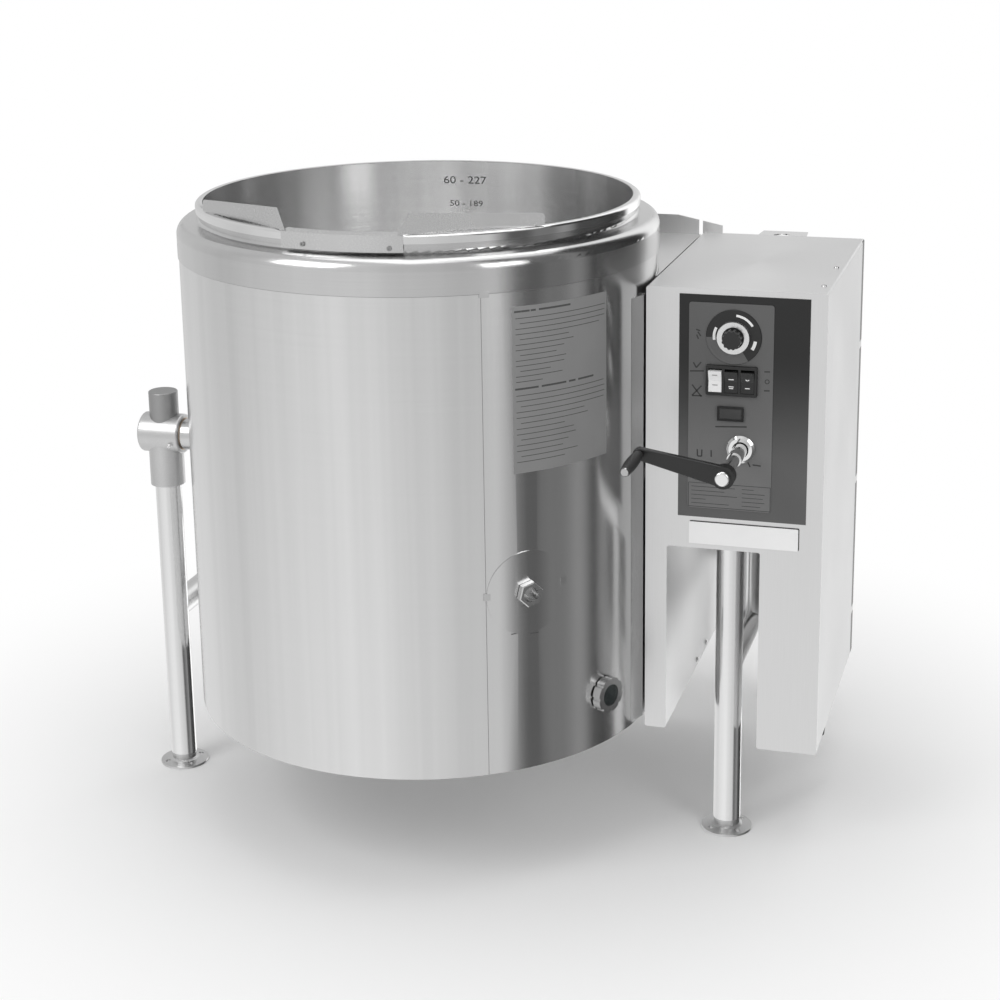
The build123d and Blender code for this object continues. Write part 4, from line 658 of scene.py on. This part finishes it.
def drumSeams():
    s = {"sunk": 0.2, "seam": -58.0, "seamWide": 0.13, "seamThick": 0.34, "bandShadeFrom": -176.0,
         "bandShadeTo": -20.0, "bandShadeLow": 1.1, "bandShadeHigh": 0.1, "bandShadeThick": 0.5, "bandShadeSteps": 60,
         "clip": -57.3, "clipWide": 2.2, "clipDown": 6.5, "clipUp": 3.0, "clipThick": 2.9,
         "clipSteps": 3}
    bandLow = boxOf("shoulder_band")[0].z
    dark, seamHalf, clipHalf = steels["darkSteel"], s["seamWide"] / 2, s["clipWide"] / 2
    seam = (s["seam"] - seamHalf, s["seam"] + seamHalf, drumLow.z, bandLow)
    # a dark strip bent round the drum just under the band's lower edge: painted shadow of the band
    bandShade = (s["bandShadeFrom"], s["bandShadeTo"], bandLow - s["bandShadeLow"], bandLow - s["bandShadeHigh"])
    clip = (s["clip"] - clipHalf, s["clip"] + clipHalf, bandLow - s["clipDown"],
            bandLow + s["clipUp"])
    drumPatches("drum_seam", dark, s["sunk"], s["seamThick"], [seam], 1)
    drumPatches("band_shadow_line", dark, s["sunk"], s["bandShadeThick"], [bandShade], s["bandShadeSteps"])
    drumPatches("band_clip", steels["band"], s["sunk"], s["clipThick"], [clip], s["clipSteps"])


def coverPlateDetails():
    s = {"ears": ((-57.8, 532.0), (-38.8, 537.5)), "earWide": 1.6, "earTall": 12.0,
         "earSunk": 0.2, "earThick": 2.2, "marks": ((-51.0, 461.0), (-46.5, 456.0)),
         "markWide": 2.4, "markTall": 1.4, "markSunk": 0.1, "markThick": 0.22, "steps": 2}
    ears = about(s["ears"], s["earWide"], s["earTall"])
    marks = about(s["marks"], s["markWide"], s["markTall"])
    drumPatches("cover_plate_ears", steels["fitting"], s["earSunk"], s["earThick"], ears,
                s["steps"])
    drumPatches("cover_plate_marks", foilInk, s["markSunk"], s["markThick"], marks, s["steps"])


def levelNumbers():
    # filling levels cut into the bowl's wall, facing the cook
    # each row: its words, their size, height, and angle in degrees from +X
    s = {"thick": 0.2, "spread": 1.25, "sunk": 0.05,
         "rows": (("60 - 227", 20.25, 1086.0, 95.3), ("50 - 189", 15.75, 1042.0, 95.0))}
    for number, (words, tall, height, middle) in enumerate(s["rows"], 1):
        curve = bpy.data.curves.new("levelNumbers", "FONT")
        curve.body = words
        curve.size = tall * mm
        curve.extrude = s["thick"] * mm
        curve.align_x = "CENTER"
        curve.resolution_u = 3
        holder = bpy.data.objects.new("levelNumbers", curve)
        scene.collection.objects.link(holder)
        bpy.context.view_layer.update()
        mesh = bpy.data.meshes.new_from_object(holder)
        bpy.data.objects.remove(holder)
        bm = bmesh.new()
        bm.from_mesh(mesh)
        bpy.data.meshes.remove(mesh)
        wall = surfaceAt("inner_bowl", (axisX, axisY, height), (0, 1, 0))[0].y - axisY
        for vert in bm.verts:
            angle = radians(middle) - vert.co.x * s["spread"] / (wall * mm)
            out = (wall - s["sunk"]) * mm - vert.co.z
            vert.co = Vector((axisX * mm + out * cos(angle), axisY * mm + out * sin(angle),
                              height * mm + vert.co.y))
        bmesh.ops.remove_doubles(bm, verts=bm.verts, dist=1e-7)
        finished("level_numbers_" + str(number), bm, etchedInk, "kettle", False)


def lipScrews():
    s = {"places": ((-62.4, 1111.0), (81.5, 1109.0)), "radius": 4.4, "height": 3.0, "sides": 16,
         "lookFrom": 600}
    bm = bmesh.new()
    for x, z in s["places"]:
        place, normal = surfaceAt("pour_lip", (axisX + x, axisY - s["lookFrom"], z), (0, 1, 0))
        head(bm, place, normal, s["radius"], s["height"], s["sides"])
    finished("lip_screws", bm, steels["darkSteel"], "kettle")


def caseScrews():
    s = {"top": ((712.0, 148.0), (712.0, -6.0)), "topRadius": 4.6, "topHeight": 2.0, "lookDown": 90,
         "skirt": ((302.0, 216.0), (214.0, 216.0)), "skirtRadius": 5.0, "skirtHeight": 2.4,
         "lookAcross": 520, "sides": 18}
    bm = bmesh.new()
    for x, y in s["top"]:
        above = (axisX + x, axisY + y, caseHigh.z + s["lookDown"])
        place = surfaceAt("console_case", above, (0, 0, -1))[0]
        head(bm, place, (0, 0, 1), s["topRadius"], s["topHeight"], s["sides"])
    for y, z in s["skirt"]:
        beside = (axisX + s["lookAcross"], axisY + y, z)
        place, normal = surfaceAt("console_case", beside, (-1, 0, 0))
        head(bm, place, normal, s["skirtRadius"], s["skirtHeight"], s["sides"])
    finished("case_screws", bm, steels["fitting"], "stand")


def trunnionFasteners():
    s = {"boltAngles": (45, 135, 225, 315), "boltCircle": 36.0, "boltRadius": 6.5,
         "boltHeight": 5.5, "boltSides": 6, "boltSocket": 0.35, "lookFrom": 455,
         "nippleInward": 14, "nippleDrop": 12, "nippleOut": (0, -0.95, -0.31), "lookNear": 100,
         "nippleParts": ((-0.8, 5.0, 4.0, 6, 0.8), (3.0, 3.0, 5.0, 16, 0.6))}  # hexagon, round end
    low, high = boxOf("left_trunnion")
    pivotY, pivotZ = (low.y + high.y) / 2, (low.z + high.z) / 2
    bm = bmesh.new()
    for angle in map(radians, s["boltAngles"]):
        y, z = pivotY + s["boltCircle"] * cos(angle), pivotZ + s["boltCircle"] * sin(angle)
        place = surfaceAt("left_trunnion", (axisX - s["lookFrom"], y, z), (1, 0, 0))[0]
        head(bm, place, (-1, 0, 0), s["boltRadius"], s["boltHeight"], s["boltSides"],
             s["boltSocket"])
    finished("washer_bolts", bm, steels["bright"], "kettle")

    teeEnd = boxOf("left_trunnion_housing")[1].x
    near = (teeEnd - s["nippleInward"], pivotY - s["lookNear"], pivotZ - s["nippleDrop"])
    place = surfaceAt("left_trunnion_housing", near, (0, 1, 0))[0]
    out = Vector(s["nippleOut"])
    bm = bmesh.new()
    for along, radius, height, sides, socket in s["nippleParts"]:
        head(bm, place + out * along, out, radius, height, sides, socket)
    finished("grease_nipple", bm, steels["bright"], "stand")


controlMarks()
dialBars()
dataPlate()
badgePlate()
switchMarks()
lampFrame()
print("panel dressed")
foilPlate()
drumSeams()
coverPlateDetails()
levelNumbers()
lipScrews()
caseScrews()
trunnionFasteners()
print("kettle dressed")


# floor, light and camera

def layFloor():
    s = {"tone": 0.86, "size": 14.0, "roughness": 0.9, "glowFrom": 0.45, "glowTo": 1.5}
    bm = bmesh.new()
    bmesh.ops.create_grid(bm, x_segments=8, y_segments=8, size=s["size"])
    mesh = bpy.data.meshes.new("floor")
    bm.to_mesh(mesh)
    bm.free()
    floor = bpy.data.objects.new("floor", mesh)
    scene.collection.objects.link(floor)
    material, sheet, shader = newFinish("floorPaper", grey(s["tone"]), s["roughness"])
    seen = sheet.node("ShaderNodeLightPath", out="Is Camera Ray")
    mirrored = sheet.node("ShaderNodeLightPath", out="Is Glossy Ray")
    paper = Wire(sheet, shader.outputs[0])
    glow = sheet.node("ShaderNodeEmission", None, {"Color": grey(1.0), "Strength": 1.0})
    clear = sheet.node("ShaderNodeBsdfTransparent")
    far = sheet.reach(sheet.coords()).ramp(s["glowFrom"], s["glowTo"])
    plain = sheet.node("ShaderNodeMixShader", None, {0: seen * far, 1: paper, 2: glow})
    opened = sheet.node("ShaderNodeMixShader", None, {0: mirrored, 1: plain, 2: clear})
    sheet.link(opened, material.node_tree.nodes["Material Output"], "Surface")
    floor.data.materials.append(material)


def lightRoom():
    # the room that polished metal shows, its tones in turns from the back past left, front, right
    s = {"soft": 0.72, "low": -0.42, "level": -0.12, "upperShare": 0.8, "tones": (
        (0.0, 0.95), (0.08, 0.8), (0.17, 0.9), (0.22, 0.86), (0.27, 0.8), (0.31, 0.88),
        (0.36, 0.93), (0.44, 1.0), (0.486, 1.0), (0.528, 0.87), (0.57, 0.84), (0.6, 0.76),
        (0.634, 0.75), (0.65, 0.8), (0.662, 0.5), (0.68, 0.12), (0.706, 0.12), (0.722, 0.24),
        (0.75, 0.22), (0.768, 0.38), (0.782, 0.3), (0.797, 0.08), (0.84, 0.08), (0.87, 0.04),
        (0.915, 0.05), (0.93, 1.6), (0.97, 1.5), (1.0, 1.1))}
    world = bpy.data.worlds.new("studioWorld")
    scene.world = world
    world.use_nodes = True
    sky = Sheet(world.node_tree)
    background = world.node_tree.nodes["Background"]
    dx, dy, dz = sky.axes(sky.node("ShaderNodeTexCoord", out="Generated"))
    around = dx.angle(0.0 - dy) / (2 * pi) + 0.5
    stops = [(place, grey(level)) for place, level in s["tones"]]
    bands = sky.node("ShaderNodeValToRGB", {"stops": stops}, {0: around})
    camera = sky.node("ShaderNodeLightPath", out="Is Camera Ray")
    glossy = sky.node("ShaderNodeLightPath", out="Is Glossy Ray")
    through = sky.node("ShaderNodeLightPath", out="Is Transmission Ray")
    room = sky.blend(dz.ramp(s["low"], s["level"], 1.0, s["upperShare"]), grey(0.0), bands)
    soft = sky.blend(glossy, grey(s["soft"]), room)
    sky.link(sky.blend(camera.top(through), soft, grey(1.0)), background, "Color")
    background.inputs["Strength"].default_value = 1.0


def hangLamps():
    s = {"aimHeight": 0.55, "lamps": {
        "keyLamp": {"place": (-1.9, -2.6, 3.0), "size": (1.8, 1.8), "power": 38.0},
        "rightLamp": {"place": (2.8, -2.0, 2.2), "size": (1.2, 1.8), "power": 16.0},
        "topLamp": {"place": (0.2, 0.2, 3.4), "size": (2.4, 2.4), "power": 20.0}}}
    for lampName, lamp in s["lamps"].items():
        data = bpy.data.lights.new(lampName, "AREA")
        data.shape = "RECTANGLE"
        data.size, data.size_y = lamp["size"]
        data.energy = lamp["power"]
        holder = bpy.data.objects.new(lampName, data)
        holder.location = lamp["place"]
        aim = Vector((0.0, 0.0, s["aimHeight"])) - holder.location
        holder.rotation_euler = aim.to_track_quat("-Z", "Y").to_euler()
        scene.collection.objects.link(holder)


def setCamera():
    # place in mm from the kettle's axis, angles in radians, focal length and centre in pixels
    s = {"place": (1147.2, -3290.812, 1719.282), "yaw": -0.286, "pitch": 0.259, "roll": -0.013,
         "focal": 2011.173, "centreX": 519.557, "centreY": 376.138, "frame": 1000.0, "sensor": 36.0,
         "clip": (0.05, 60.0)}
    yaw, pitch, roll, wide = s["yaw"], s["pitch"], s["roll"], s["frame"]
    ahead = Vector((sin(yaw) * cos(pitch), cos(yaw) * cos(pitch), -sin(pitch)))
    right = Vector((cos(yaw), -sin(yaw), 0.0))
    up = right.cross(ahead)
    turnedRight = cos(roll) * right + sin(roll) * up
    turnedUp = -sin(roll) * right + cos(roll) * up
    data = bpy.data.cameras.new("camera")
    data.sensor_width = s["sensor"]
    data.lens = s["focal"] * s["sensor"] / wide
    data.shift_x = (wide / 2 - s["centreX"]) / wide
    data.shift_y = (s["centreY"] - wide / 2) / wide
    data.clip_start, data.clip_end = s["clip"]
    holder = bpy.data.objects.new("camera", data)
    matrix = Matrix((turnedRight, turnedUp, -ahead)).transposed().to_4x4()
    matrix.translation = (Vector(s["place"]) + Vector((axisX, axisY, 0.0))) * mm
    holder.matrix_world = matrix
    scene.collection.objects.link(holder)
    scene.camera = holder


layFloor()
lightRoom()
hangLamps()
setCamera()
scene.view_settings.view_transform = "Standard"
print("studio set")
